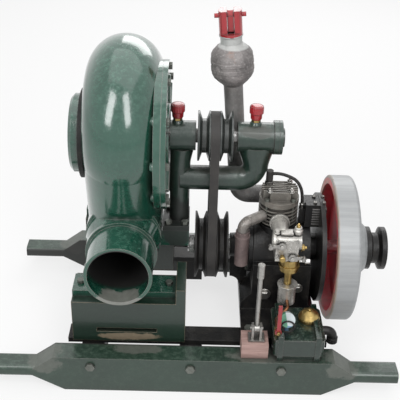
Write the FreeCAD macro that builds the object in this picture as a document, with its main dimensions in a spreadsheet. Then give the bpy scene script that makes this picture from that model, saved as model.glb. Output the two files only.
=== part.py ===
import FreeCAD, Part
import math
import os
from types import SimpleNamespace

import Sketcher
from FreeCAD import Rotation, Vector

# Engine-driven centrifugal blower on a four-handled carrying frame.
# Millimetres. X runs along the rails to the flywheel, Y away from the discharge mouth, Z up.
# The origin is on the ground at the middle of the frame.

SIZES = {
    # carrying frame
    "frame_length": (722, "over the hand grips"),
    "frame_depth": (408, "over both rails"),
    "rail_height": (73, "top of the rails above the ground"),
    "rail_thickness": (40, "rail, front to back"),
    "grip_length": (85, "straight part of a hand grip"),
    "grip_low": (27, "underside of a grip above the ground"),
    "grip_height": (23, "grip, bottom to top"),
    "grip_round": (8, "rounding of a grip's long edges"),
    "flare_upper": (30, "length of the slope above a grip"),
    "flare_lower": (48, "length of the slope below a grip"),
    "beam_width": (40, "cross beam along X"),
    "beam_height": (45, "cross beam, bottom to top"),
    "left_beam_place": (-181, "middle of the left cross beam"),
    "middle_block_place": (-6, "short blocks under the bearers, between the cross beams"),
    "middle_block_depth": (54, "short blocks, front to back"),
    "right_beam_place": (153, "middle of the right cross beam"),
    "bearer_thickness": (10, "flat bars that carry the machines"),
    "bearer_width": (39, "bearer, front to back"),
    "bearer_inner": (110, "bearer's inner edge from the middle"),
    "bearer_left": (-226, "left end of the bearers"),
    "bearer_right": (238, "right end of the bearers"),
    "rail_bolt_height": (55, "rail bolts above the ground"),
    "rail_bolt_radius": (5, "rail bolt shank"),
    "rail_bolt_reach": (62, "rail bolt shank under its head"),
    # blower casing
    "blower_height": (408, "blower shaft above the ground"),
    "scroll_right": (-63, "right side of the scroll along X"),
    "scroll_half_width": (66, "half of the scroll's width, and its crown radius"),
    "scroll_wall": (5.5, "casing wall"),
    "scroll_start": (124.25, "radius of the scroll's first quarter"),
    "spigot_radius": (57, "outside of the discharge spigot"),
    "spigot_bore": (51, "inside of the discharge spigot"),
    "spigot_mouth": (-195, "mouth of the spigot along Y"),
    "spigot_length": (69, "plain part of the spigot"),
    "bead_width": (8, "bead behind the plain part"),
    "bead_rise": (5, "bead above the spigot"),
    "throat_length": (66, "wide part between scroll and spigot"),
    "joint_radius": (130, "joint flange of casing and back plate"),
    "joint_thickness": (12, "joint flange on the casing"),
    "casing_opening": (106, "opening behind the back plate"),
    "back_plate_thickness": (9, "back plate"),
    "joint_bolt_circle": (119, "radius of the back plate's bolt circle"),
    "inlet_bore": (45, "inlet eye"),
    "inlet_flange_radius": (78, "dark flange round the inlet"),
    "inlet_flange_thickness": (8, "dark flange round the inlet"),
    "inlet_collar_radius": (68.6, "inlet collar"),
    "inlet_collar_length": (17, "inlet collar"),
    # pedestals under the blower
    "pedestal_margin": (21, "left end of the pedestals past the scroll"),
    "pedestal_right": (-17, "right end of the front pedestal"),
    "front_pedestal_top": (157, "top of the front pedestal"),
    "front_pedestal_front": (-155, "front face of the front pedestal"),
    "front_pedestal_back": (-68, "back face of the front pedestal"),
    "post_top": (187, "top of the post at the right end"),
    "post_width": (17, "post at the right end"),
    "slot_low": (94, "underside of the slot in the front pedestal"),
    "slot_height": (8, "slot in the front pedestal"),
    "slot_left": (-173, "left end of the slot"),
    "slot_right": (-67, "right end of the slot"),
    "rear_pedestal_top": (190, "top of the rear pedestal"),
    "rear_pedestal_front": (66, "front face of the rear pedestal"),
    "rear_pedestal_back": (150, "back face of the rear pedestal"),
    "rear_pedestal_right": (-45, "right end of the rear pedestal"),
    "foot_thickness": (12, "casing feet"),
    "foot_depth": (50, "casing feet, front to back"),
    # blower rotor
    "shaft_radius": (12.5, "blower shaft"),
    "shaft_left": (-172, "left end of the blower shaft"),
    "impeller_radius": (80, "impeller"),
    "impeller_left_gap": (31, "left side of the scroll to the blades"),
    "impeller_right_gap": (25, "blades to the right side of the scroll"),
    "impeller_disc": (5, "impeller disc"),
    "impeller_hub": (24, "impeller hub"),
    "blade_thickness": (4, "impeller blade"),
    # bearing bracket
    "shelf_top": (232, "shelf on the casing under the bracket"),
    "shelf_height": (32, "shelf, bottom to top"),
    "shelf_half_depth": (35, "half of the shelf, front to back"),
    "shelf_right": (-14, "right end of the shelf"),
    "bracket_foot": (10, "bracket foot plate"),
    "column_place": (-33, "middle of the left column"),
    "column_radius": (18, "left column"),
    "yoke_height": (325, "middle of the lower tube"),
    "yoke_radius": (22, "lower tube and right arm"),
    "yoke_bend": (32, "bend between lower tube and right arm"),
    "arm_place": (101, "middle of the right arm"),
    "left_bearing_start": (-51, "left end of the left bearing housing"),
    "left_bearing_end": (-6, "right end of the left bearing housing"),
    "right_bearing_start": (66, "left end of the right bearing housing"),
    "right_bearing_end": (138, "right end of the right bearing housing"),
    "housing_radius": (26, "bearing housings"),
    "housing_rim": (30, "rim at the right end"),
    "housing_rim_width": (9, "rim at the right end"),
    "bush_wall": (4, "bearing bush"),
    "end_cap_thickness": (6, "end cap of the right bearing"),
    "cup_stem_radius": (5, "grease cup stem"),
    "cup_stem_length": (9, "grease cup stem above the housing"),
    "cup_radius": (12.3, "grease cup cap"),
    "cup_height": (25, "grease cup cap"),
    "left_cup_place": (-38, "left grease cup"),
    "right_cup_place": (97, "right grease cup"),
    # belt drive
    "pulley_left": (-3, "left face of both pulleys"),
    "groove_pitch": (19, "distance between grooves"),
    "groove_edge": (11.5, "first groove's middle from the pulley's face"),
    "groove_half_width": (8.3, "half of a groove at the rim"),
    "groove_depth": (14, "groove"),
    "driven_radius": (44, "pulley on the blower shaft"),
    "drive_radius": (62, "pulley on the crankshaft"),
    "belt_depth": (10.5, "V-belt, inside to outside"),
    "belt_sink": (0.8, "belt's back below the pulley rim"),
    "belt_gap": (0.35, "belt flank to groove flank"),
    # engine
    "crank_height": (182, "crankshaft above the ground"),
    "crank_radius": (14, "crankshaft journals"),
    "crank_left": (-16, "left end of the crankshaft"),
    "crank_right": (358, "right end of the crankshaft"),
    "crank_throw": (18, "crank pin from the crankshaft's axis"),
    "crank_pin_radius": (8, "crank pin"),
    "web_radius": (34, "crank webs"),
    "web_thickness": (9, "crank webs"),
    "cylinder_place": (148, "middle of the cylinder along X"),
    "rod_width": (11, "connecting rod along X"),
    "case_left": (104, "left face of the crankcase"),
    "case_right": (208, "right face of the crankcase"),
    "case_radius": (54, "crankcase barrel"),
    "case_wall": (7, "crankcase wall"),
    "deck_height": (240, "top of the crankcase under the cylinder"),
    "base_left": (84, "left end of the engine base"),
    "base_right": (222, "right end of the engine base"),
    "base_thickness": (10, "engine base flange"),
    "base_half_depth": (149, "half of the base flange, front to back"),
    "sump_half_depth": (66, "half of the sump, front to back"),
    "cover_radius": (50, "side cover"),
    "cover_thickness": (8, "side cover"),
    "nose_radius": (25, "bearing nose of the side cover"),
    "nose_end": (63, "left end of the bearing nose"),
    "bore_radius": (24, "cylinder bore"),
    "barrel_wall": (6, "cylinder barrel"),
    "fin_radius": (36, "cooling fins"),
    "fin_thickness": (2.5, "cooling fin"),
    "fin_pitch": (7, "cooling fins"),
    "head_bottom": (282, "joint of cylinder and head"),
    "head_height": (27, "cylinder head"),
    "piston_height": (30, "piston"),
    "piston_gap": (0.1, "piston in its bore"),
    "rod_length": (52, "between the rod's two ends"),
    "wrist_pin_radius": (5, "wrist pin"),
    # flywheel side
    "flywheel_left": (244, "left face of the flywheel"),
    "flywheel_radius": (135.5, "flywheel"),
    "flywheel_width": (42, "flywheel rim"),
    "rim_wall": (20, "flywheel rim"),
    "web_left": (268, "left face of the flywheel's disc"),
    "hub_radius": (55, "flywheel hub"),
    "hub_end": (314, "right end of the flywheel hub"),
    "rim_round": (7, "rounding of the rim's right edge"),
    "sheave_radius": (40, "rope sheave flanges"),
    "sheave_groove": (29, "rope sheave groove"),
    "sheave_length": (38, "rope sheave"),
    "magneto_radius": (102, "magneto plate"),
    "magneto_thickness": (8, "magneto plate"),
    "magneto_left": (222, "left face of the magneto plate"),
    "coil_gap": (12, "cooling fins to the left end of the ignition coil"),
    "coil_low": (237, "underside of the ignition coil"),
    "coil_height": (46, "ignition coil"),
    "coil_half_depth": (19, "half of the ignition coil"),
    # exhaust, built upright and then leaned over together
    "exhaust_place": (77, "foot of the exhaust stack along X"),
    "exhaust_reach": (23, "exhaust port's face to the stack along Y"),
    "exhaust_foot": (258, "foot of the exhaust stack above the ground"),
    "exhaust_lean": (5, "lean of the stack in degrees"),
    "exhaust_radius": (17, "exhaust pipe"),
    "exhaust_wall": (2.5, "exhaust pipe"),
    "stack_height": (262, "pipe up to the muffler"),
    "muffler_radius": (38.5, "muffler"),
    "neck_radius": (19, "neck on the muffler"),
    "neck_length": (16, "neck on the muffler"),
    "fork_width": (40, "red fork over the outlet"),
    "fork_height": (44, "red fork over the outlet"),
    "fork_gap": (12, "gap between the fork's ears"),
    "flap_pin_radius": (4, "pin of the outlet flap"),
    # carburettor and inlet
    "carb_place": (158, "middle of the carburettor along X"),
    "carb_depth": (-86, "middle of the carburettor along Y"),
    "carb_low": (216, "underside of the carburettor body"),
    "carb_height": (50, "carburettor body"),
    "carb_width": (50, "carburettor body"),
    "carb_body_depth": (30, "carburettor body"),
    "throat_radius": (11, "carburettor throat"),
    "mixer_radius": (17, "brass mixing chamber"),
    "mixer_height": (26, "brass mixing chamber"),
    "bowl_radius": (16, "float bowl"),
    "bowl_height": (40, "float bowl"),
    "bowl_drop": (58, "float bowl's top under the carburettor body"),
    "cleaner_place": (82, "air cleaner along X"),
    "cleaner_depth": (-52, "air cleaner along Y"),
    "cleaner_low": (176, "underside of the air cleaner"),
    "cleaner_height": (70, "air cleaner"),
    "cleaner_radius": (12.5, "air cleaner"),
    # fuel tank
    "tank_left": (137, "left end of the fuel tank"),
    "tank_length": (89, "fuel tank along X"),
    "tank_setback": (6, "front of the fuel tank behind the frame's front"),
    "tank_depth": (94, "fuel tank, front to back"),
    "tank_height": (34, "fuel tank"),
    "tank_wall": (2, "fuel tank"),
    "tank_round": (9, "rounding of the tank's upright edges"),
    "filler_place": (203, "filler neck along X"),
    "filler_setback": (68, "filler neck behind the frame's front"),
    "filler_radius": (14, "filler neck"),
    "filler_rise": (8, "filler neck above the tank"),
    "cap_radius": (18.5, "filler cap"),
    "cap_height": (20, "filler cap"),
    "gauge_place": (160, "fuel gauge along X"),
    "gauge_setback": (36, "fuel gauge behind the frame's front"),
    "gauge_radius": (13, "fuel gauge"),
    "gauge_thickness": (14, "fuel gauge"),
    "gauge_height": (26, "fuel gauge's middle above the tank"),
    "tap_place": (144, "fuel tap along X"),
    "tap_setback": (24, "fuel tap behind the frame's front"),
    "tap_lever_length": (56, "red lever of the fuel tap"),
    # controls
    "block_left": (82, "wooden block"),
    "block_length": (47, "wooden block"),
    "block_setback": (10, "wooden block behind the frame's front"),
    "block_depth": (40, "wooden block"),
    "block_height": (30, "wooden block"),
    "lever_place": (108, "control lever along X"),
    "lever_pin_height": (22, "control lever's pin above the block"),
    "lever_length": (128, "control lever"),
}


class Size:
    """A length with its number and the spreadsheet expression that gives it."""

    def __init__(self, value, text=None):
        self.value = float(value)
        self.text = text if text else repr(float(value))

    def __add__(self, other):
        other = as_size(other)
        return Size(self.value + other.value, f"({self.text} + {other.text})")

    def __sub__(self, other):
        other = as_size(other)
        return Size(self.value - other.value, f"({self.text} - {other.text})")

    def __mul__(self, other):
        other = as_size(other)
        return Size(self.value * other.value, f"({self.text} * {other.text})")

    def __truediv__(self, other):
        other = as_size(other)
        return Size(self.value / other.value, f"({self.text} / {other.text})")

    def __rsub__(self, other):
        return as_size(other) - self

    def __radd__(self, other):
        return self + other

    def __rmul__(self, other):
        return self * other

    def __neg__(self):
        return Size(-self.value, f"(-1 * {self.text})")


def as_size(number):
    return number if isinstance(number, Size) else Size(number)


def root(size):
    return Size(math.sqrt(size.value), f"sqrt({size.text})")


doc = FreeCAD.newDocument("Blower")
sheet = doc.addObject("Spreadsheet::Sheet", "Sizes")
for row, (alias, (number, meaning)) in enumerate(SIZES.items(), start=1):
    sheet.set(f"A{row}", alias)
    sheet.set(f"B{row}", str(number))
    sheet.set(f"C{row}", meaning)
    sheet.setAlias(f"B{row}", alias)
doc.recompute()
D = SimpleNamespace(**{alias: Size(number, f"Sizes.{alias}") for alias, (number, _) in SIZES.items()})

ALONG = {
    "+X": (Vector(0, 1, 0), 90),
    "-X": (Vector(0, 1, 0), -90),
    "+Y": (Vector(1, 0, 0), -90),
    "-Y": (Vector(1, 0, 0), 90),
    "+Z": (Vector(0, 0, 1), 0),
    "-Z": (Vector(1, 0, 0), 180),
}
UPRIGHT = (Vector(0, 0, 1), 0)
HOLE_GAP = Size(0.3)   # a bolt's shank to the wall of its hole
RUNNING_GAP = Size(0.05)   # a shaft to the wall of its bush
NODES = []


# ---------------------------------------------------------------- building blocks

def bind(thing, prop, size):
    thing.setExpression(prop, as_size(size).text)


def place(thing, at, turn=UPRIGHT):
    thing.Placement = FreeCAD.Placement(Vector(), Rotation(*turn))
    for letter, size in zip("xyz", at):
        bind(thing, ".Placement.Base." + letter, size)
    return thing


def block(x_span, y_span, z_span):
    thing = doc.addObject("Part::Box", "Block")
    for prop, span in zip(("Length", "Width", "Height"), (x_span, y_span, z_span)):
        bind(thing, prop, as_size(span[1]) - span[0])
    return place(thing, (x_span[0], y_span[0], z_span[0]))


def rod(radius, length, at, along="+Z", sweep=360):
    thing = doc.addObject("Part::Cylinder", "Rod")
    bind(thing, "Radius", radius)
    bind(thing, "Height", length)
    thing.Angle = sweep
    return place(thing, at, ALONG[along])


def taper(start_radius, end_radius, length, at, along="+Z"):
    thing = doc.addObject("Part::Cone", "Taper")
    bind(thing, "Radius1", start_radius)
    bind(thing, "Radius2", end_radius)
    bind(thing, "Height", length)
    return place(thing, at, ALONG[along])


def ball(radius, at):
    thing = doc.addObject("Part::Sphere", "Ball")
    bind(thing, "Radius", radius)
    return place(thing, at)


def hexagon(radius, length, at, along="+Z"):
    thing = doc.addObject("Part::Prism", "Hexagon")
    thing.Polygon = 6
    bind(thing, "Circumradius", radius)
    bind(thing, "Height", length)
    return place(thing, at, ALONG[along])


def fuse(*things):
    thing = doc.addObject("Part::MultiFuse", "Fuse")
    thing.Shapes = list(things)
    return thing


def group(things):
    thing = doc.addObject("Part::Compound", "Group")
    thing.Links = list(things)
    return thing


def cut(base, *tools):
    thing = doc.addObject("Part::Cut", "Cut")
    thing.Base = base
    thing.Tool = tools[0] if len(tools) == 1 else fuse(*tools)
    return thing


def node(label, thing):
    thing.Label = label
    NODES.append(thing)
    return thing


class Arc:
    """In an outline: the next point is reached round this centre."""

    def __init__(self, centre, clockwise=True):
        self.centre = centre
        self.clockwise = clockwise


def sketch_outline(body, plane, outline):
    """A closed outline of points and arcs, each point tied to its own expression."""
    sketch = body.newObject("Sketcher::SketchObject", "Outline")
    origin_plane = next(part for part in body.Origin.OriginFeatures if part.Role == plane)
    sketch.AttachmentSupport = [(origin_plane, "")]
    sketch.MapMode = "FlatFace"
    steps = []
    for item in outline:
        if isinstance(item, Arc):
            steps[-1][1] = item
        else:
            steps.append([tuple(as_size(part) for part in item), None])
    corners = [Vector(step[0][0].value, step[0][1].value, 0) for step in steps]
    for index, (_, arc) in enumerate(steps):
        start = corners[index]
        end = corners[(index + 1) % len(steps)]
        if arc:
            sketch.addGeometry(arc_between(start, end, arc))
        else:
            sketch.addGeometry(Part.LineSegment(start, end))
    for index, (point, arc) in enumerate(steps):
        following = (index + 1) % len(steps)
        first_end, second_start = 2, 1
        if arc and arc.clockwise:
            first_end = 1
        if steps[following][1] and steps[following][1].clockwise:
            second_start = 2
        sketch.addConstraint(Sketcher.Constraint("Coincident", index, first_end, following, second_start))
    for index, (point, arc) in enumerate(steps):
        start_end = 2 if arc and arc.clockwise else 1
        before = steps[index - 1][1]
        kinds = ["DistanceX", "DistanceY"]
        if before:
            spoke = corners[index] - Vector(*[as_size(part).value for part in before.centre], 0)
            kinds = ["DistanceY"] if abs(spoke.x) > abs(spoke.y) else ["DistanceX"]
        for kind in kinds:
            hold(sketch, kind, index, start_end, point[0] if kind == "DistanceX" else point[1])
        if arc:
            hold(sketch, "DistanceX", index, 3, arc.centre[0])
            hold(sketch, "DistanceY", index, 3, arc.centre[1])
    return sketch


def hold(sketch, kind, geometry, point, size):
    size = as_size(size)
    number = sketch.addConstraint(Sketcher.Constraint(kind, -1, 1, geometry, point, size.value))
    sketch.setExpression(f"Constraints[{number}]", size.text)


def arc_between(start, end, arc):
    centre = Vector(*[as_size(part).value for part in arc.centre], 0)
    angles = [math.atan2(point.y - centre.y, point.x - centre.x) for point in (start, end)]
    if arc.clockwise:
        angles.reverse()
    if angles[1] <= angles[0]:
        angles[1] += 2 * math.pi
    circle = Part.Circle(centre, Vector(0, 0, 1), (start - centre).Length)
    return Part.ArcOfCircle(circle, angles[0], angles[1])


def turned(outline, at, turn=UPRIGHT, sweep=360):
    """A body turned about its own X axis; the outline is (along X, radius)."""
    body = doc.addObject("PartDesign::Body", "Turned")
    sketch = sketch_outline(body, "XY_Plane", outline)
    spin = body.newObject("PartDesign::Revolution", "Spin")
    spin.Profile = sketch
    spin.ReferenceAxis = (sketch, ["H_Axis"])
    spin.Angle = sweep
    return place(body, at, turn)


def padded(outline, thickness, at, turn=UPRIGHT):
    """A body with its outline in its own XY plane, padded along its own Z."""
    body = doc.addObject("PartDesign::Body", "Plate")
    sketch = sketch_outline(body, "XY_Plane", outline)
    pad = body.newObject("PartDesign::Pad", "Pad")
    pad.Profile = sketch
    bind(pad, "Length", thickness)
    return place(body, at, turn)


def rounded(body, radius, wanted):
    """Fillets the edges of a body that wanted() picks."""
    doc.recompute()
    tip = body.Tip
    names = [f"Edge{number}" for number, edge in enumerate(tip.Shape.Edges, start=1) if wanted(edge)]
    fillet = body.newObject("PartDesign::Fillet", "Rounding")
    fillet.Base = (tip, names)
    bind(fillet, "Radius", radius)
    return body


def is_straight_along(edge, axis):
    start, end = [vertex.Point for vertex in (edge.Vertexes[0], edge.Vertexes[-1])]
    run = end - start
    return len(edge.Vertexes) == 2 and run.Length > 0 and abs(run.normalize().dot(axis)) > 0.999


def bent_path(points, bend):
    """Straight runs joined by tangent arcs of one radius."""
    corners = [Vector(*[as_size(part).value for part in point]) for point in points]
    edges = []
    start = corners[0]
    for before, corner, after in zip(corners, corners[1:], corners[2:]):
        inward = (before - corner).normalize()
        outward = (after - corner).normalize()
        half_turn = (math.pi - inward.getAngle(outward)) / 2
        reach = bend * math.tan(half_turn)
        first = corner + inward * reach
        last = corner + outward * reach
        bisector = (inward + outward).normalize()
        middle = corner + bisector * (bend / math.cos(half_turn) - bend)
        edges.append(Part.LineSegment(start, first).toShape())
        edges.append(Part.Arc(first, middle, last).toShape())
        start = last
    edges.append(Part.LineSegment(start, corners[-1]).toShape())
    return Part.Wire(edges)


def bent_solid(points, radius, bend):
    path = bent_path(points, bend)
    corners = [Vector(*[as_size(part).value for part in point]) for point in points[:2]]
    section = Part.Wire([Part.Circle(corners[0], corners[1] - corners[0], as_size(radius).value).toShape()])
    return path.makePipeShell([section], True, False)


def shaped(shape, at=(0, 0, 0), turn=UPRIGHT):
    """A feature whose shape no primitive or sketch gives."""
    thing = doc.addObject("Part::Feature", "Shaped")
    thing.Shape = shape
    return place(thing, at, turn)


def bolt(radius, reach, head_height, at, along):
    """Hexagon head at the place given, with its shank behind it along the direction."""
    head = hexagon(radius * 1.7, head_height, at, OPPOSITE[along])
    return fuse(head, rod(radius, reach, at, along))


OPPOSITE = {"+X": "-X", "-X": "+X", "+Y": "-Y", "-Y": "+Y", "+Z": "-Z", "-Z": "+Z"}


def on_circle(centre, radius, count, start_angle, x_place):
    """Places round an X axis, as (x, y, z)."""
    places = []
    for index in range(count):
        angle = math.radians(start_angle + index * 360 / count)
        places.append((x_place, centre[0] + radius * math.cos(angle), centre[1] + radius * math.sin(angle)))
    return places


# ---------------------------------------------------------------- carrying frame

rail_middle = (D.frame_depth - D.rail_thickness) / 2
frame_front = -D.frame_depth / 2
tank_front = frame_front + D.tank_setback
filler_depth = frame_front + D.filler_setback
gauge_depth = frame_front + D.gauge_setback
tap_depth = frame_front + D.tap_setback
block_front = frame_front + D.block_setback
beam_top = D.rail_height - D.bearer_thickness
beam_bottom = beam_top - D.beam_height
beam_places = (D.left_beam_place, D.middle_block_place, D.right_beam_place)
inner_face = D.frame_depth / 2 - D.rail_thickness


def make_rail(label, front_face):
    half = D.frame_length / 2
    grip_end = half - D.grip_length
    grip_top = D.grip_low + D.grip_height
    right_side = [
        (grip_end - D.flare_lower, 0),
        (grip_end, D.grip_low),
        (half, D.grip_low),
        (half, grip_top),
        (grip_end, grip_top),
        (grip_end - D.flare_upper, D.rail_height),
    ]
    left_side = [(-x, z) for x, z in reversed(right_side)]
    back_face = front_face + D.rail_thickness
    rail = padded(right_side + left_side, D.rail_thickness, (0, back_face, 0), ALONG["-Y"])

    def is_grip_edge(edge):
        along = is_straight_along(edge, Vector(1, 0, 0))
        return along and abs(edge.CenterOfMass.x) > grip_end.value

    rounded(rail, D.grip_round, is_grip_edge)
    holes = [
        rod(D.rail_bolt_radius + HOLE_GAP, D.rail_thickness, (x, front_face, D.rail_bolt_height), "+Y")
        for x in beam_places
    ]
    return node(label, cut(rail, *holes))


def beam_spans(x):
    """Along Y: a beam reaches both rails, the middle place has a short block at each rail."""
    if x is not D.middle_block_place:
        return [(-inner_face, inner_face)]
    return [(-inner_face, D.middle_block_depth - inner_face), (inner_face - D.middle_block_depth, inner_face)]


def make_frame():
    make_rail("front_rail", -D.frame_depth / 2)
    make_rail("rear_rail", inner_face)
    beams = []
    half = D.beam_width / 2
    depth = D.rail_bolt_reach - D.rail_thickness + HOLE_GAP
    radius = D.rail_bolt_radius + HOLE_GAP
    for x in beam_places:
        starts = (-inner_face, inner_face - depth)
        holes = [rod(radius, depth, (x, y, D.rail_bolt_height), "+Y") for y in starts]
        for y_span in beam_spans(x):
            beam = block((x - half, x + half), y_span, (beam_bottom, beam_top))
            beams.append(cut(beam, *holes))
    node("cross_beams", group(beams))
    bearers = []
    for low in (-(D.bearer_inner + D.bearer_width), D.bearer_inner):
        spans = (D.bearer_left, D.bearer_right), (low, low + D.bearer_width), (beam_top, D.rail_height)
        bearers.append(block(*spans))
    node("bearers", group(bearers))
    bolts = []
    for x in beam_places:
        for y, along in ((-D.frame_depth / 2, "+Y"), (D.frame_depth / 2, "-Y")):
            seat = (x, y, D.rail_bolt_height)
            bolts.append(bolt(D.rail_bolt_radius, D.rail_bolt_reach, Size(RAIL_HEAD), seat, along))
    return bolts


RAIL_HEAD = 4.5

# ---------------------------------------------------------------- blower casing

step = D.spigot_radius / 2
high_x = D.scroll_right
low_x = high_x - D.scroll_half_width * 2
scroll_place = high_x - D.scroll_half_width
pedestal_left = low_x - D.pedestal_margin
impeller_left = low_x + D.impeller_left_gap
impeller_right = high_x - D.impeller_right_gap
spigot_height = D.blower_height - step / 2 - D.scroll_start - D.spigot_radius + step
throat_height = spigot_height - D.spigot_radius + D.scroll_half_width
plate_left = high_x
plate_right = plate_left + D.back_plate_thickness
# Quarter turns from the tongue round: bottom to front, front to top, top to back, back to bottom.
QUARTERS = ((-1, 1, 180), (1, 1, 90), (1, -1, 0), (-1, -1, 270))


def scroll_quarters(inset):
    """Four quarter turns, each with its own centre and a radius one step larger."""
    solids = [rod(step * 2, (D.scroll_half_width - inset) * 2, (low_x + inset, 0, D.blower_height), "+X")]
    half = D.scroll_half_width - inset
    for index, (y_side, z_side, angle) in enumerate(QUARTERS):
        reach = D.scroll_start + step * index - inset
        side = reach - half
        outline = [(-half, 0), (-half, side), Arc((0, side)), (half, side), (half, 0)]
        at = (scroll_place, step * y_side / 2, D.blower_height + step * z_side / 2)
        solids.append(turned(outline, at, (Vector(1, 0, 0), angle), 90))
    return solids


def front_cheek():
    """The straight front of the casing, which goes on from the scroll's first quarter down to the throat."""
    lean = math.radians(CHEEK_LEAN)
    side = D.scroll_start - D.scroll_half_width
    top = D.blower_height + step / 2 - side * math.sin(lean)
    at = (scroll_place, -(step / 2 + side * math.cos(lean)), top)
    cheek = rod(D.scroll_half_width - CHEEK_INSET, (top - throat_height) / math.cos(lean), at)
    return place(cheek, at, (Vector(1, 0, 0), CHEEK_LEAN - 180))


CHEEK_LEAN = 15
CHEEK_INSET = 0.8


def joint_bolt_places():
    return on_circle((0, D.blower_height), D.joint_bolt_circle, 10, 0, plate_right)


def foot_places(top, middle_y, right):
    inset = Size(FOOT_BOLT_INSET)
    return [(pedestal_left + inset, middle_y, top), (right - inset, middle_y, top)]


FOOT_BOLT_INSET = 13
SMALL_BOLT = 4
front_foot_y = (D.front_pedestal_front + D.front_pedestal_back) / 2
rear_foot_y = (D.rear_pedestal_front + D.rear_pedestal_back) / 2
front_foot_top = D.front_pedestal_top + D.foot_thickness
front_feet = foot_places(front_foot_top, front_foot_y, D.pedestal_right - D.post_width)
rear_feet = foot_places(D.rear_pedestal_top + D.foot_thickness, rear_foot_y, D.rear_pedestal_right)


def make_casing():
    mouth = D.spigot_mouth
    tongue = -step / 2
    throat_start = tongue - D.throat_length
    bead_start = mouth + D.spigot_length
    outer = scroll_quarters(Size(0))
    outer.append(front_cheek())
    outer.append(rod(D.spigot_radius, tongue - mouth, (scroll_place, mouth, spigot_height), "+Y"))
    bead_at = (scroll_place, bead_start, spigot_height)
    outer.append(rod(D.spigot_radius + D.bead_rise, D.bead_width, bead_at, "+Y"))
    throat_at = (scroll_place, throat_start, throat_height)
    outer.append(rod(D.scroll_half_width, D.throat_length, throat_at, "+Y"))
    cone_start = bead_start + D.bead_width
    cone = taper(D.spigot_radius, D.scroll_half_width, throat_start - cone_start,
                 (scroll_place, cone_start, spigot_height), "+Y")
    outer.append(cone)
    joint_at = (high_x - D.joint_thickness, 0, D.blower_height)
    outer.append(rod(D.joint_radius, D.joint_thickness, joint_at, "+X"))
    half = D.foot_depth / 2
    for middle, top, right, rise, front in (
        (front_foot_y, D.front_pedestal_top, D.pedestal_right - D.post_width, FRONT_RIB, bead_start + 2),
        (rear_foot_y, D.rear_pedestal_top, D.rear_pedestal_right, REAR_RIB, rear_foot_y - half),
    ):
        span = (middle - half, middle + half)
        outer.append(block((pedestal_left, right), span, (top, top + D.foot_thickness)))
        rib_x = (low_x + RIB_INSET, high_x - RIB_INSET)
        outer.append(block(rib_x, (front, middle + half), (top, top + rise)))
    shelf_y = (-D.shelf_half_depth, D.shelf_half_depth)
    outer.append(block((scroll_place, D.shelf_right), shelf_y, (D.shelf_top - D.shelf_height, D.shelf_top)))

    hollow = scroll_quarters(D.scroll_wall)
    bore_length = tongue - mouth + BORE_OVERLAP
    hollow.append(rod(D.spigot_bore, bore_length + 1, (scroll_place, mouth - 1, spigot_height), "+Y"))
    opening_depth = D.scroll_wall + 1 + D.joint_thickness
    at = (high_x - D.scroll_wall - D.joint_thickness, 0, D.blower_height)
    hollow.append(rod(D.casing_opening, opening_depth, at, "+X"))
    hollow.append(rod(D.inlet_bore, D.scroll_wall * 2, (low_x - 1, 0, D.blower_height), "+X"))
    tools = [fuse(*hollow)]
    radius = SMALL_BOLT + HOLE_GAP
    for x, y, z in joint_bolt_places():
        tools.append(rod(radius, D.joint_thickness + 1, (high_x - D.joint_thickness, y, z), "+X"))
    for x, y, z in front_feet + rear_feet:
        tools.append(rod(radius, D.foot_thickness + 1, (x, y, z - D.foot_thickness - 0.5), "+Z"))
    for x, y in bracket_bolt_places():
        tools.append(rod(radius, SHELF_HOLE, (x, y, D.shelf_top - SHELF_HOLE), "+Z"))
    node("volute_casing", cut(fuse(*outer), *tools))


FRONT_RIB = 45
REAR_RIB = 70
RIB_INSET = 20
BORE_OVERLAP = 20
SHELF_HOLE = 20


def make_back_plate():
    disc = rod(D.joint_radius, D.back_plate_thickness, (plate_left, 0, D.blower_height), "+X")
    spigot = rod(D.casing_opening - 0.3, D.back_plate_thickness, (plate_left - 4, 0, D.blower_height), "+X")
    hole_length = D.back_plate_thickness * 2 + 4
    tools = [rod(D.shaft_radius + SHAFT_GAP, hole_length, (plate_left - 5, 0, D.blower_height), "+X")]
    for x, y, z in joint_bolt_places():
        tools.append(rod(SMALL_BOLT + HOLE_GAP, D.back_plate_thickness + 1, (plate_left - 0.5, y, z), "+X"))
    node("back_plate", cut(fuse(disc, spigot), *tools))


SHAFT_GAP = 1.0


def make_inlet():
    start = low_x - D.inlet_flange_thickness
    ring = rod(D.inlet_flange_radius, D.inlet_flange_thickness, (start, 0, D.blower_height), "+X")
    tools = [rod(D.inlet_bore, D.inlet_flange_thickness + 2, (start - 1, 0, D.blower_height), "+X")]
    node("inlet_flange", cut(ring, *tools))
    collar_start = start - D.inlet_collar_length
    length = D.inlet_collar_length
    lip = length * 0.3
    outline = [
        (0, D.inlet_bore),
        (0, D.inlet_collar_radius - lip),
        (lip, D.inlet_collar_radius),
        (length, D.inlet_collar_radius),
        (length, D.inlet_bore),
    ]
    node("inlet_collar", turned(outline, (collar_start, 0, D.blower_height)))


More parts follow.
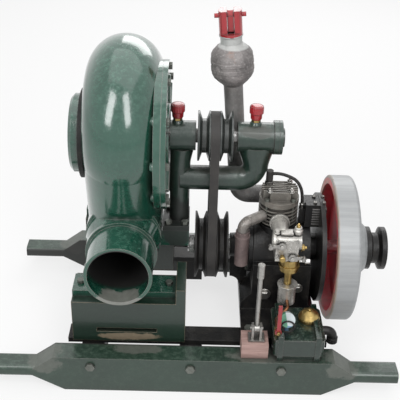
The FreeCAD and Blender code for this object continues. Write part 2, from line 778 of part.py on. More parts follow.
def make_pedestals():
    left = pedestal_left
    right = D.pedestal_right
    post_left = right - D.post_width
    top = D.front_pedestal_top
    outline = [
        (left, D.rail_height),
        (right, D.rail_height),
        (right, D.post_top),
        (post_left, D.post_top),
        (post_left, top),
        (left, top),
    ]
    depth = D.front_pedestal_back - D.front_pedestal_front
    front = padded(outline, depth, (0, D.front_pedestal_back, 0), ALONG["-Y"])
    slot = block(
        (D.slot_left, D.slot_right),
        (D.front_pedestal_front - 1, D.front_pedestal_back + 1),
        (D.slot_low, D.slot_low + D.slot_height),
    )
    radius = SMALL_BOLT + HOLE_GAP
    holes = [rod(radius, PEDESTAL_HOLE, (x, y, top - PEDESTAL_HOLE), "+Z") for x, y, z in front_feet]
    node("front_pedestal", cut(front, slot, *holes))
    rear = block(
        (left, D.rear_pedestal_right),
        (D.rear_pedestal_front, D.rear_pedestal_back),
        (D.rail_height, D.rear_pedestal_top),
    )
    top = D.rear_pedestal_top
    holes = [rod(radius, PEDESTAL_HOLE, (x, y, top - PEDESTAL_HOLE), "+Z") for x, y, z in rear_feet]
    node("rear_pedestal", cut(rear, *holes))


PEDESTAL_HOLE = 22


# ---------------------------------------------------------------- bearing bracket

def bracket_bolt_places():
    inset = Size(9)
    x_places = (D.column_place - D.column_radius + BRACKET_BOLT_IN, D.shelf_right - inset + 1)
    depth = D.shelf_half_depth - inset
    return [(x, y) for x in x_places for y in (-depth, depth)]


BRACKET_BOLT_IN = -1
bush_outer = D.shaft_radius + RUNNING_GAP + D.bush_wall


def make_bracket():
    foot_left = high_x + 1
    foot_top = D.shelf_top + D.bracket_foot
    foot_y = (-D.shelf_half_depth, D.shelf_half_depth)
    solids = [block((foot_left, D.shelf_right), foot_y, (D.shelf_top, foot_top))]
    column_foot = (D.column_place, 0, foot_top - 1)
    solids.append(rod(D.column_radius, D.blower_height - foot_top + 1, column_foot, "+Z"))
    bend_start = D.arm_place - D.yoke_bend
    solids.append(rod(D.yoke_radius, bend_start - D.column_place, (D.column_place, 0, D.yoke_height), "+X"))
    bend = doc.addObject("Part::Torus", "Bend")
    bind(bend, "Radius1", D.yoke_bend)
    bind(bend, "Radius2", D.yoke_radius)
    bend.Angle3 = 90
    place(bend, (bend_start, 0, D.yoke_height + D.yoke_bend), ALONG["+Y"])
    solids.append(bend)
    arm_foot = (D.arm_place, 0, D.yoke_height + D.yoke_bend)
    solids.append(rod(D.yoke_radius, D.blower_height - D.yoke_height - D.yoke_bend, arm_foot, "+Z"))
    spans = (
        (D.left_bearing_start, D.left_bearing_end),
        (D.right_bearing_start, D.right_bearing_end),
    )
    for start, end in spans:
        solids.append(rod(D.housing_radius, end - start, (start, 0, D.blower_height), "+X"))
    rim_start = D.right_bearing_end - D.housing_rim_width
    solids.append(rod(D.housing_rim, D.housing_rim_width, (rim_start, 0, D.blower_height), "+X"))
    tools = []
    for start, end in spans:
        tools.append(rod(bush_outer, end - start + 2, (start - 1, 0, D.blower_height), "+X"))
    for x, y in bracket_bolt_places():
        tools.append(rod(SMALL_BOLT + HOLE_GAP, D.bracket_foot + 1, (x, y, D.shelf_top - 0.5), "+Z"))
    for x in (D.left_cup_place, D.right_cup_place):
        tools.append(rod(D.cup_stem_radius, CUP_SEAT, (x, 0, cup_stem_foot), "+Z"))
    node("bearing_bracket", cut(fuse(*solids), *tools))
    bushes = []
    for start, end in spans:
        sleeve = rod(bush_outer, end - start, (start, 0, D.blower_height), "+X")
        bore = rod(D.shaft_radius + RUNNING_GAP, end - start + 2, (start - 1, 0, D.blower_height), "+X")
        bushes.append(cut(sleeve, bore))
    node("bearing_bushes", group(bushes))
    cap = rod(D.housing_rim, D.end_cap_thickness, (D.right_bearing_end, 0, D.blower_height), "+X")
    dome_start = D.right_bearing_end + D.end_cap_thickness
    dome = rod(D.housing_rim * 0.55, END_CAP_DOME, (dome_start, 0, D.blower_height), "+X")
    node("bearing_end_cap", fuse(cap, dome))


CUP_SEAT = 12
END_CAP_DOME = 4
cup_stem_foot = D.blower_height + D.housing_radius - 4
cup_stem_top = D.blower_height + D.housing_radius + D.cup_stem_length


def make_grease_cups():
    stems = []
    for x in (D.left_cup_place, D.right_cup_place):
        stem = rod(D.cup_stem_radius, cup_stem_top - cup_stem_foot, (x, 0, cup_stem_foot), "+Z")
        collar = hexagon(D.cup_stem_radius * 1.6, 4, (x, 0, cup_stem_top - 5), "+Z")
        spindle = rod(D.cup_stem_radius * 0.6, D.cup_height * 0.5, (x, 0, cup_stem_top), "+Z")
        stems.append(fuse(stem, collar, spindle))
    node("grease_cup_stems", group(stems))
    for label, x in (("left_grease_cap", D.left_cup_place), ("right_grease_cap", D.right_cup_place)):
        length = D.cup_height
        hollow = D.cup_stem_radius * 0.6 + RUNNING_GAP
        outline = [
            (0, hollow),
            (0, D.cup_radius * 0.82),
            (length * 0.55, D.cup_radius * 0.82),
            (length * 0.6, D.cup_radius),
            (length, D.cup_radius),
            (length, 0),
            (length * 0.55, 0),
            (length * 0.55, hollow),
        ]
        node(label, turned(outline, (x, 0, cup_stem_top), ALONG["-X"]))


# ---------------------------------------------------------------- blower rotor

def make_rotor():
    axis = D.blower_height
    middle_bore = D.shaft_radius
    hub = rod(D.impeller_hub, impeller_right - impeller_left, (impeller_left, 0, axis), "+X")
    disc = rod(D.impeller_radius, D.impeller_disc, (impeller_right - D.impeller_disc, 0, axis), "+X")
    blades = []
    for index in range(BLADES):
        blade = doc.addObject("Part::Box", "Blade")
        bind(blade, "Length", impeller_right - impeller_left)
        bind(blade, "Width", D.impeller_radius - 2)
        bind(blade, "Height", D.blade_thickness)
        place(blade, (impeller_left, 0, axis), (Vector(1, 0, 0), index * 360 / BLADES))
        blades.append(blade)
    bore = rod(middle_bore, impeller_right - impeller_left + 2, (impeller_left - 1, 0, axis), "+X")
    node("impeller", cut(fuse(hub, disc, *blades), bore))
    length = D.right_bearing_end - 2 - D.shaft_left
    node("blower_shaft", rod(middle_bore, length, (D.shaft_left, 0, axis), "+X"))


BLADES = 8


def pulley(label, rim, bore, axis_height):
    outline = [(0, bore), (0, rim)]
    tip = D.groove_half_width - D.groove_depth * math.tan(math.radians(GROOVE_SLOPE))
    for index in range(GROOVES):
        middle = D.groove_edge + D.groove_pitch * index
        outline.append((middle - D.groove_half_width, rim))
        outline.append((middle - tip, rim - D.groove_depth))
        outline.append((middle + tip, rim - D.groove_depth))
        outline.append((middle + D.groove_half_width, rim))
    width = pulley_width
    outline += [(width, rim), (width, bore)]
    return node(label, turned(outline, (D.pulley_left, 0, axis_height)))


GROOVES = 3
GROOVE_SLOPE = 19
pulley_width = D.groove_edge * 2 + D.groove_pitch * (GROOVES - 1)


def make_belt():
    """A trapezoid drawn once round both pulleys, in the middle groove."""
    middle_x = (D.pulley_left + pulley_width / 2).value
    slope = math.tan(math.radians(GROOVE_SLOPE))
    back = D.belt_sink.value
    front = back + D.belt_depth.value
    upper = D.driven_radius.value - back
    lower = D.drive_radius.value - back
    span = (D.blower_height - D.crank_height).value
    tilt = math.asin((lower - upper) / span)
    half_back = D.groove_half_width.value - D.belt_gap.value - back * slope
    half_front = D.groove_half_width.value - D.belt_gap.value - front * slope
    top = Vector(0, 0, D.blower_height.value)
    bottom = Vector(0, 0, D.crank_height.value)
    side = Vector(0, math.cos(tilt), math.sin(tilt))
    mirror = Vector(0, -math.cos(tilt), math.sin(tilt))
    path = Part.Wire([
        Part.Arc(top + side * upper, top + Vector(0, 0, upper), top + mirror * upper).toShape(),
        Part.LineSegment(top + mirror * upper, bottom + mirror * lower).toShape(),
        Part.Arc(bottom + mirror * lower, bottom - Vector(0, 0, lower), bottom + side * lower).toShape(),
        Part.LineSegment(bottom + side * lower, top + side * upper).toShape(),
    ])
    start = top + side * upper
    depth = front - back
    corners = [
        start + Vector(half_back, 0, 0),
        start + Vector(half_front, 0, 0) - side * depth,
        start - Vector(half_front, 0, 0) - side * depth,
        start - Vector(half_back, 0, 0),
    ]
    section = Part.makePolygon(corners + [corners[0]])
    belt = path.makePipeShell([section], True, False)
    node("v_belt", shaped(belt, (middle_x, 0, 0)))


# ---------------------------------------------------------------- engine

main_bore = D.crank_radius + RUNNING_GAP
main_bush_outer = main_bore + D.bush_wall
head_top = D.head_bottom + D.head_height
base_top = D.rail_height + D.base_thickness


def make_crankcase():
    axis = D.crank_height
    wall = D.case_wall
    width = D.case_right - D.case_left
    outside = [rod(D.case_radius, width, (D.case_left, 0, axis), "+X")]
    deck_radius = D.fin_radius
    outside.append(rod(deck_radius, D.deck_height - axis, (D.cylinder_place, 0, axis), "+Z"))
    sump_left = D.base_left + SUMP_INSET
    sump_right = D.base_right - SUMP_INSET
    slope = [
        (D.base_left, D.rail_height),
        (D.base_right, D.rail_height),
        (D.base_right, base_top),
        (sump_right, base_top + SUMP_INSET),
        (sump_right, axis),
        (D.case_left, axis),
        (D.case_left, axis - D.cover_radius - COVER_SEAT),
        (D.base_left, base_top + SUMP_INSET),
    ]
    outside.append(padded(slope, D.sump_half_depth * 2, (0, D.sump_half_depth, 0), ALONG["-Y"]))
    flange_y = (-D.base_half_depth, D.base_half_depth)
    outside.append(block((D.base_left, D.base_right), flange_y, (D.rail_height, base_top)))
    boss_length = D.magneto_left - D.case_right
    outside.append(rod(D.nose_radius, boss_length, (D.case_right, 0, axis), "+X"))
    tools = [rod(D.case_radius - wall, width - wall + 1, (D.case_left - 1, 0, axis), "+X")]
    cavity_y = (-(D.sump_half_depth - wall), D.sump_half_depth - wall)
    tools.append(block((D.case_left + wall, sump_right - wall), cavity_y, (base_top, axis - wall)))
    tools.append(rod(D.bore_radius, D.deck_height - axis + 1, (D.cylinder_place, 0, axis), "+Z"))
    bush_start = D.case_right - wall
    tools.append(rod(main_bush_outer, wall + boss_length + 2, (bush_start - 1, 0, axis), "+X"))
    for x, y in base_bolt_places():
        tools.append(rod(BASE_BOLT + HOLE_GAP, D.base_thickness + 1, (x, y, D.rail_height - 0.5), "+Z"))
    node("crankcase", cut(fuse(*outside), *tools))


SUMP_INSET = 12
COVER_SEAT = 13
BASE_BOLT = 5


def base_bolt_places():
    y = D.bearer_inner + D.bearer_width / 2
    front_left = (D.base_left + 14, -y)
    return [front_left, (D.base_left + 14, y), (D.base_right - 14, y)]


def make_cover():
    axis = D.crank_height
    start = D.case_left - D.cover_thickness
    disc = rod(D.cover_radius, D.cover_thickness, (start, 0, axis), "+X")
    nose = taper(D.nose_radius - 3, D.nose_radius, start - D.nose_end, (D.nose_end, 0, axis), "+X")
    left = D.nose_end + 2
    foot = base_top + WEB_RISE
    top = axis - D.nose_radius + 6
    outline = [
        (left, top),
        (left, foot + WEB_ARC),
        Arc((left, foot)),
        (left + WEB_ARC, foot),
        (start - 1, foot + WEB_SLOPE),
        (start + 1, foot + WEB_SLOPE),
        (start + 1, top),
    ]
    web = padded(outline, WEB_THICKNESS, (0, WEB_THICKNESS / 2, 0), ALONG["-Y"])
    length = D.case_left - D.nose_end
    tools = [rod(main_bush_outer, length + 2, (D.nose_end - 1, 0, axis), "+X")]
    for x, y, z in cover_screw_places():
        tools.append(rod(COVER_SCREW + HOLE_GAP, D.cover_thickness + 1, (start - 0.5, y, z), "+X"))
    node("crankcase_cover", cut(fuse(disc, nose, web), *tools))
    bushes = []
    for low, high in ((D.nose_end, D.case_left), (D.case_right - D.case_wall, D.magneto_left)):
        sleeve = rod(main_bush_outer, high - low, (low, 0, axis), "+X")
        bushes.append(cut(sleeve, rod(main_bore, high - low + 2, (low - 1, 0, axis), "+X")))
    node("main_bushes", group(bushes))


COVER_SCREW = 2.5
WEB_RISE = Size(14)   # foot of the cover's web above the engine base
WEB_ARC = Size(18)
WEB_SLOPE = Size(18)
WEB_THICKNESS = Size(16)


def cover_screw_places():
    radius = D.cover_radius - 6
    return on_circle((0, D.crank_height), radius, 8, 22.5, D.case_left - D.cover_thickness)


def finned(bottom, height, count, at):
    """A plain barrel with evenly spaced fins, as one turned body standing on its X axis."""
    core = D.bore_radius + D.barrel_wall
    outline = [(0, D.bore_radius), (0, core)]
    for index in range(count):
        low = bottom + D.fin_pitch * index
        high = low + D.fin_thickness
        outline += [(low, core), (low, D.fin_radius), (high, D.fin_radius), (high, core)]
    outline += [(height, core), (height, D.bore_radius)]
    return turned(outline, at, ALONG["-X"])


def make_cylinder():
    x = D.cylinder_place
    height = D.head_bottom - D.deck_height
    barrel = finned(D.fin_pitch * 0.7, height, 5, (x, 0, D.deck_height))
    boss_y = port_face
    inner = D.bore_radius + 2
    inlet = rod(PORT_BOSS, boss_y - inner, (x, -boss_y, port_height), "+Y")
    outlet = rod(PORT_BOSS, boss_y - inner, (x, inner, port_height), "+Y")
    low = D.deck_height - 1
    bolts = [rod(HEAD_STUD + HOLE_GAP, height + 2, (sx, sy, low), "+Z") for sx, sy in head_stud_places()]
    ports = [rod(PORT_BORE, boss_y * 2 + 2, (x, -boss_y - 1, port_height), "+Y")]
    bore = rod(D.bore_radius, height + 2, (x, 0, D.deck_height - 1), "+Z")
    node("cylinder_barrel", cut(fuse(barrel, inlet, outlet), bore, *bolts, *ports))

    bottom = D.head_bottom
    base = rod(D.fin_radius, HEAD_BASE, (x, 0, bottom), "+Z")
    fins = []
    for index in range(HEAD_FINS):
        y = (index - (HEAD_FINS - 1) / 2) * D.fin_pitch
        half = root(D.fin_radius * D.fin_radius - y * y) - 3
        span_y = (y - D.fin_thickness / 2, y + D.fin_thickness / 2)
        spans = (x - half, x + half), span_y, (bottom + HEAD_BASE, head_top)
        fins.append(block(*spans))
    crown = rod(D.bore_radius * 0.7, D.head_height - 6, (x, 0, bottom), "+Z")
    seat = rod(PLUG_HEX + 1, D.head_height, (plug_x, plug_y, bottom), "+Z")
    tools = []
    for sx, sy in head_stud_places():
        tools.append(rod(HEAD_STUD + HOLE_GAP, D.head_height + 2, (sx, sy, bottom - 1), "+Z"))
        tools.append(rod(HEAD_STUD * 2.2, D.head_height, (sx, sy, bottom + HEAD_BASE), "+Z"))
    tools.append(rod(PLUG_THREAD, D.head_height + 2, (plug_x, plug_y, bottom - 1), "+Z"))
    node("cylinder_head", cut(fuse(base, crown, seat, *fins), *tools))


PORT_BOSS = 15
PORT_BORE = 10
HEAD_BASE = 10
HEAD_FINS = 7
HEAD_STUD = 2.5
PLUG_HEX = 8
PLUG_THREAD = 5
BOOT_RADIUS = 6.5
port_height = D.exhaust_foot
port_face = D.fin_radius + 3
stack_depth = port_face + D.exhaust_reach
coil_left = D.cylinder_place + D.fin_radius + D.coil_gap
plug_x = D.cylinder_place - 19
plug_y = as_size(10)


def head_stud_places():
    reach = (D.bore_radius + D.barrel_wall + D.fin_radius) / 2
    share = math.sqrt(0.5)
    return [(D.cylinder_place + reach * share * sx, reach * share * sy) for sx in (-1, 1) for sy in (-1, 1)]


def make_piston():
    x = D.cylinder_place
    pin_height = D.crank_height + D.crank_throw + D.rod_length
    half = D.piston_height / 2
    radius = D.bore_radius - D.piston_gap
    body = rod(radius, D.piston_height, (x, 0, pin_height - half), "+Z")
    inside = rod(radius - 4, D.piston_height - 5, (x, 0, pin_height - half - 1), "+Z")
    pin_length = D.bore_radius * 2 - 6
    pin_hole = rod(D.wrist_pin_radius, pin_length + 20, (x - pin_length / 2 - 10, 0, pin_height), "+X")
    node("piston", cut(body, inside, pin_hole))
    node("wrist_pin", rod(D.wrist_pin_radius, pin_length, (x - pin_length / 2, 0, pin_height), "+X"))
    start = x - D.rod_width / 2
    eye = rod(D.wrist_pin_radius + 4, D.rod_width, (start, 0, pin_height), "+X")
    sweep = D.crank_throw + D.crank_pin_radius + ROD_CLEARANCE
    shank_low = D.crank_height + D.crank_throw
    shank = block((start, start + D.rod_width), (-6, 6), (shank_low, pin_height))
    shoe = block((start, start + D.rod_width), (-11, 11), (shank_low, D.crank_height + sweep + 5))
    tools = [
        rod(D.wrist_pin_radius, D.rod_width + 2, (start - 1, 0, pin_height), "+X"),
        rod(sweep, D.rod_width + 2, (start - 1, 0, D.crank_height), "+X"),
    ]
    node("connecting_rod", cut(fuse(eye, shank, shoe), *tools))


ROD_CLEARANCE = 0.9


def make_crankshaft():
    axis = D.crank_height
    gap = D.rod_width / 2 + 0.7
    left_web = D.cylinder_place - gap - D.web_thickness
    right_web = D.cylinder_place + gap
    right_start = right_web + D.web_thickness - 1
    pin_length = gap * 2 + D.web_thickness
    solids = [
        rod(D.crank_radius, left_web - D.crank_left + 1, (D.crank_left, 0, axis), "+X"),
        rod(D.crank_radius, D.crank_right - right_start, (right_start, 0, axis), "+X"),
        rod(D.web_radius, D.web_thickness, (left_web, 0, axis), "+X"),
        rod(D.web_radius, D.web_thickness, (right_web, 0, axis), "+X"),
        rod(D.crank_pin_radius, pin_length, (left_web + D.web_thickness / 2, 0, axis + D.crank_throw), "+X"),
        hexagon(D.crank_radius + 6, CRANK_NUT, (D.crank_left + 3, 0, axis), "+X"),
    ]
    node("crankshaft", fuse(*solids))


CRANK_NUT = 9


# ---------------------------------------------------------------- ignition and flywheel

def make_ignition():
    plug = fuse(
        rod(PLUG_THREAD, D.head_height - 2, (plug_x, plug_y, D.head_bottom + 2), "+Z"),
        hexagon(PLUG_HEX, 7, (plug_x, plug_y, head_top), "+Z"),
        rod(PLUG_THREAD * 0.8, 18, (plug_x, plug_y, head_top + 7), "+Z"),
    )
    node("spark_plug", plug)
    boot_low = head_top + 8
    boot = rod(BOOT_RADIUS, BOOT_HEIGHT, (plug_x, plug_y, boot_low), "+Z")
    sleeve = rod(PLUG_THREAD * 0.8, 18, (plug_x, plug_y, boot_low - 0.5), "+Z")
    node("plug_boot", cut(boot, sleeve))
    start_height = boot_low + BOOT_HEIGHT - 6
    start = (plug_x + BOOT_RADIUS, plug_y, start_height)
    end_height = D.coil_low + TERMINAL_HEIGHT
    end = (coil_left - TERMINAL_WIDTH / 2, 0, end_height)
    route = [start, (144, 9, 332), (160, 7, 329), (178, 5, 321), (188, 3, 304), (191, 1, 284), end]
    tube, radii = cord_tube(route, LEAD_RADIUS)
    print("ignition lead bends:", [round(radius, 1) for radius in radii])
    node("ignition_lead", shaped(tube))

    left = coil_left
    half = D.coil_half_depth
    core = block((left, D.magneto_left), (-half, half), (D.coil_low, D.coil_low + D.coil_height))
    terminal = block((left - TERMINAL_WIDTH, left), (-7, 7), (D.coil_low, D.coil_low + TERMINAL_HEIGHT))
    node("ignition_coil", fuse(core, terminal))
    plate = rod(D.magneto_radius, D.magneto_thickness, (D.magneto_left, 0, D.crank_height), "+X")
    hole = rod(D.crank_radius + 2, D.magneto_thickness + 2, (D.magneto_left - 1, 0, D.crank_height), "+X")
    node("magneto_plate", cut(plate, hole))


BOOT_HEIGHT = 20
TERMINAL_HEIGHT = 30
TERMINAL_WIDTH = 10
LEAD_RADIUS = 3


def cord_tube(route, radius):
    """A tube along straight runs and the largest tangent arcs that they allow."""
    corners = [Vector(*[as_size(part).value for part in point]) for point in route]
    edges = []
    radii = []
    start = corners[0]
    for before, corner, after in zip(corners, corners[1:], corners[2:]):
        inward = before - corner
        outward = after - corner
        turn = math.pi - inward.getAngle(outward)
        reach = 0.45 * min(inward.Length, outward.Length)
        bend = reach / math.tan(turn / 2)
        inward.normalize()
        outward.normalize()
        first = corner + inward * reach
        last = corner + outward * reach
        bisector = (inward + outward).normalize()
        middle = corner + bisector * (bend / math.cos(turn / 2) - bend)
        edges.append(Part.LineSegment(start, first).toShape())
        edges.append(Part.Arc(first, middle, last).toShape())
        radii.append(bend)
        start = last
    edges.append(Part.LineSegment(start, corners[-1]).toShape())
    section = Part.Wire([Part.Circle(corners[0], corners[1] - corners[0], radius).toShape()])
    return Part.Wire(edges).makePipeShell([section], True, False), radii


def make_flywheel():
    left = D.flywheel_left
    width = D.flywheel_width
    rim_inner = D.flywheel_radius - D.rim_wall
    web = D.web_left - left
    hub = D.hub_end - left
    bevel = D.rim_round
    outline = [
        (web, D.crank_radius),
        (web, rim_inner),
        (0, rim_inner + 4),
        (0, D.flywheel_radius - 2),
        (2, D.flywheel_radius),
        (width - bevel, D.flywheel_radius),
        Arc((width - bevel, D.flywheel_radius - bevel)),
        (width, D.flywheel_radius - bevel),
        (width + 2, D.hub_radius + HUB_SLOPE),
        (width + HUB_SLOPE * 0.6, D.hub_radius),
        (hub - 6, D.hub_radius - 7),
        (hub, D.hub_radius - 13),
        (hub, D.crank_radius),
    ]
    node("flywheel", turned(outline, (left, 0, D.crank_height)))
    flange = D.sheave_length * 0.24
    slope = D.sheave_length * 0.12
    length = D.sheave_length
    sheave = [
        (0, D.crank_radius),
        (0, D.sheave_radius),
        (flange, D.sheave_radius),
        (flange + slope, D.sheave_groove),
        (length - flange - slope, D.sheave_groove),
        (length - flange, D.sheave_radius),
        (length, D.sheave_radius),
        (length, D.crank_radius),
    ]
    node("rope_sheave", turned(sheave, (D.hub_end, 0, D.crank_height)))


HUB_SLOPE = 18


# ---------------------------------------------------------------- exhaust

lean = math.radians(D.exhaust_lean.value)
stack_base = (D.exhaust_place, stack_depth, D.exhaust_foot)
LEANING = (Vector(0, 1, 0), -D.exhaust_lean.value)


def make_exhaust():
    top = (
        D.exhaust_place - D.stack_height * math.sin(lean),
        stack_depth,
        D.exhaust_foot + D.stack_height * math.cos(lean),
    )
    route = [
        (D.cylinder_place, port_face, port_height),
        (D.cylinder_place, stack_depth, port_height),
        stack_base,
        [low + (high - low) * PIPE_SHARE for low, high in zip(stack_base, top)],
    ]
    outside = bent_solid(route, D.exhaust_radius, EXHAUST_BEND)
    inside = bent_solid(route, D.exhaust_radius - D.exhaust_wall, EXHAUST_BEND)
    flange = Part.makeCylinder(
        D.exhaust_radius.value + FLANGE_RIM,
        FLANGE_THICKNESS,
        Vector(D.cylinder_place.value, port_face.value, port_height.value),
        Vector(0, 1, 0),
    )
    node("exhaust_pipe", shaped(outside.fuse(flange).cut(inside).removeSplitter()))

    centre = (0, 0, D.stack_height)
    shell = ball(D.muffler_radius, centre)
    band = rod(D.muffler_radius + 2, 7, (0, 0, D.stack_height - 3.5), "+Z")
    neck_top = D.stack_height + D.muffler_radius + D.neck_length - 3
    neck = rod(D.neck_radius, neck_top - D.stack_height, centre, "+Z")
    inner = ball(D.muffler_radius - D.exhaust_wall, centre)
    entry = rod(D.exhaust_radius + 0.1, D.stack_height, (0, 0, 0), "+Z")
    outlet = rod(D.neck_radius - 6, D.muffler_radius + D.neck_length + 10, centre, "+Z")
    muffler = cut(fuse(shell, band, neck), inner, entry, outlet)
    node("muffler", place(muffler, stack_base, LEANING))

    half = D.fork_width / 2
    gap = D.fork_gap / 2
    top = neck_top + D.fork_height
    disc = rod(half, 5, (0, 0, neck_top), "+Z")
    ears = [block(span, (-13, 13), (neck_top, top)) for span in ((-half, -gap), (gap, half))]
    bite = fuse(*ears)
    trimmed = doc.addObject("Part::MultiCommon", "Trimmed")
    trimmed.Shapes = [bite, rod(half, D.fork_height, (0, 0, neck_top), "+Z")]
    pin = rod(D.flap_pin_radius, D.fork_width + 14, (-half - 7, 0, flap_pin_height), "+X")
    opening = rod(8, 7, (0, 0, neck_top - 1), "+Z")
    node("outlet_fork", place(fuse(cut(fuse(disc, trimmed), opening), pin), stack_base, LEANING))

    wide = gap - 0.5
    barrel = rod(D.flap_pin_radius + 4, wide * 2, (-wide, 0, flap_pin_height), "+X")
    tongue = block((-wide, wide), (-9, 9), (neck_top + 8, flap_pin_height))
    eye = rod(D.flap_pin_radius + RUNNING_GAP, wide * 2 + 2, (-wide - 1, 0, flap_pin_height), "+X")
    node("outlet_flap", place(cut(fuse(barrel, tongue), eye), stack_base, LEANING))


EXHAUST_BEND = 22
FLANGE_RIM = 6
FLANGE_THICKNESS = 5
PIPE_SHARE = 0.88
flap_pin_height = D.stack_height + D.muffler_radius + D.neck_length - 3 + D.fork_height - 9


# ---------------------------------------------------------------- carburettor and inlet

bowl_x = D.carb_place + 8
bowl_top = D.carb_low - D.bowl_drop
lever_face = D.carb_depth - D.carb_body_depth / 2


def make_carburettor():
    x = D.carb_place
    y = D.carb_depth
    half = D.carb_width / 2
    side = D.carb_body_depth / 2
    top = D.carb_low + D.carb_height
    throat_z = D.carb_low + D.carb_height * 0.66
    body = block((x - half * 0.8, x + half * 0.8), (y - side, y + side), (D.carb_low, top - 8))
    horn = rod(D.throat_radius + 4, half * 2, (x - half, y, throat_z), "+X")
    horn_rim = rod(D.throat_radius + 6, 5, (x - half, y, throat_z), "+X")
    pipe_length = -port_face - (y + side)
    runner = rod(PORT_BORE + 4, pipe_length + side, (D.cylinder_place, y, port_height), "+Y")
    flange = rod(PORT_BORE + 8, 5, (D.cylinder_place, -port_face - 5, port_height), "+Y")
    throat = rod(D.throat_radius, half * 1.9, (x - half - 1, y, throat_z), "+X")
    port = rod(PORT_BORE, pipe_length + side + 2, (D.cylinder_place, y, port_height), "+Y")
    pin_start = lever_face - LEVER_PIN_LENGTH + 1
    spindles = [rod(LEVER_PIN, LEVER_PIN_LENGTH, (px, pin_start, pz), "+Y") for px, pz in lever_pins()]
    node("carburettor_body", fuse(cut(fuse(body, horn, horn_rim, runner, flange), throat, port), *spindles))

    low = D.carb_low - D.mixer_height
    chamber = rod(D.mixer_radius, D.mixer_height, (bowl_x, y, low), "+Z")
    ring = rod(D.mixer_radius + 2, 4, (bowl_x, y, low + 8), "+Z")
    stem = rod(STEM_RADIUS, low - bowl_top, (bowl_x, y, bowl_top), "+Z")
    seat = rod(NEEDLE_RADIUS + RUNNING_GAP, D.mixer_radius + 4, (bowl_x + 4, y, needle_height), "+X")
    node("mixing_chamber", cut(fuse(chamber, ring, stem), seat))
    bowl = rod(D.bowl_radius, D.bowl_height, (bowl_x, y, bowl_top - D.bowl_height), "+Z")
    lid = rod(D.bowl_radius + 2, 4, (bowl_x, y, bowl_top - 4), "+Z")
    nut = hexagon(6, 5, (bowl_x, y, bowl_top - D.bowl_height - 5), "+Z")
    hollow = rod(D.bowl_radius - 2, D.bowl_height - 6, (bowl_x, y, bowl_top - D.bowl_height + 2), "+Z")
    node("float_bowl", cut(fuse(bowl, lid, nut), hollow))

    reach = D.mixer_radius + NEEDLE_OUT
    needle = rod(NEEDLE_RADIUS, reach - 6, (bowl_x + 6, y, needle_height), "+X")
    knob = rod(NEEDLE_RADIUS + 2.5, NEEDLE_KNOB, (bowl_x + reach, y, needle_height), "+X")
    node("mixture_needle", fuse(needle, knob))
    for label, (px, pz), tip in zip(("throttle_lever", "choke_lever"), lever_pins(), (1, -1)):
        face = lever_face - LEVER_THICKNESS - LEVER_GAP
        hub = rod(LEVER_PIN + 4, LEVER_THICKNESS, (px, face, pz), "+Y")
        arm_x = (px, px + ARM_LENGTH) if tip > 0 else (px - ARM_LENGTH, px)
        arm = block(arm_x, (face, face + LEVER_THICKNESS), (pz - 3, pz + 3))
        eye = rod(LEVER_PIN + RUNNING_GAP, LEVER_THICKNESS + 2, (px, face - 1, pz), "+Y")
        end = rod(4, LEVER_THICKNESS + 5, (px + tip * ARM_LENGTH, face - 5, pz), "+Y")
        node(label, cut(fuse(hub, arm, end), eye))


STEM_RADIUS = 7
NEEDLE_RADIUS = 2.5
NEEDLE_OUT = 10
NEEDLE_KNOB = 9
LEVER_PIN = 3
LEVER_PIN_LENGTH = 9
LEVER_GAP = 2.5
LEVER_THICKNESS = 3.5
ARM_LENGTH = 20
needle_height = D.carb_low - D.mixer_height / 2 + 4


def lever_pins():
    spread = D.carb_width * 0.2
    upper = D.carb_low + D.carb_height - 16
    return [(D.carb_place + spread, D.carb_low + 10), (D.carb_place - spread, upper)]


def make_inlet_side():
    x = D.cleaner_place
    y = D.cleaner_depth
    top = D.cleaner_low + D.cleaner_height
    can = rod(D.cleaner_radius, D.cleaner_height, (x, y, D.cleaner_low), "+Z")
    bead = rod(D.cleaner_radius + 1.5, 4, (x, y, top - 12), "+Z")
    node("air_cleaner", fuse(can, bead))
    axis = Vector(D.cylinder_place.value, 0, 0)
    foot = Vector(x.value, y.value, 0)
    away = (foot - axis).normalize()
    seat = axis + away * (D.fin_radius.value + 0.3)
    elbow_height = port_height + 4
    route = [(x, y, top), (x, y, elbow_height), (seat.x, seat.y, elbow_height)]
    node("inlet_elbow", shaped(bent_solid(route, ELBOW_RADIUS, ELBOW_BEND)))
    start = (D.tap_place, tap_depth + TAP_RADIUS, tank_top + 6)
    bowl_side = D.carb_depth - D.bowl_radius
    pipe_height = bowl_top - D.bowl_height * 0.7
    route = [
        start,
        (D.tap_place, tap_depth + 34, tank_top + 6),
        (bowl_x, bowl_side - 20, pipe_height),
        (bowl_x, bowl_side, pipe_height),
    ]
    node("fuel_pipe", shaped(bent_solid(route, FUEL_PIPE, FUEL_PIPE * 4)))


ELBOW_RADIUS = 10
ELBOW_BEND = 12
FUEL_PIPE = 3
TAP_RADIUS = 6


# ---------------------------------------------------------------- fuel tank

tank_low = base_top
tank_top = tank_low + D.tank_height


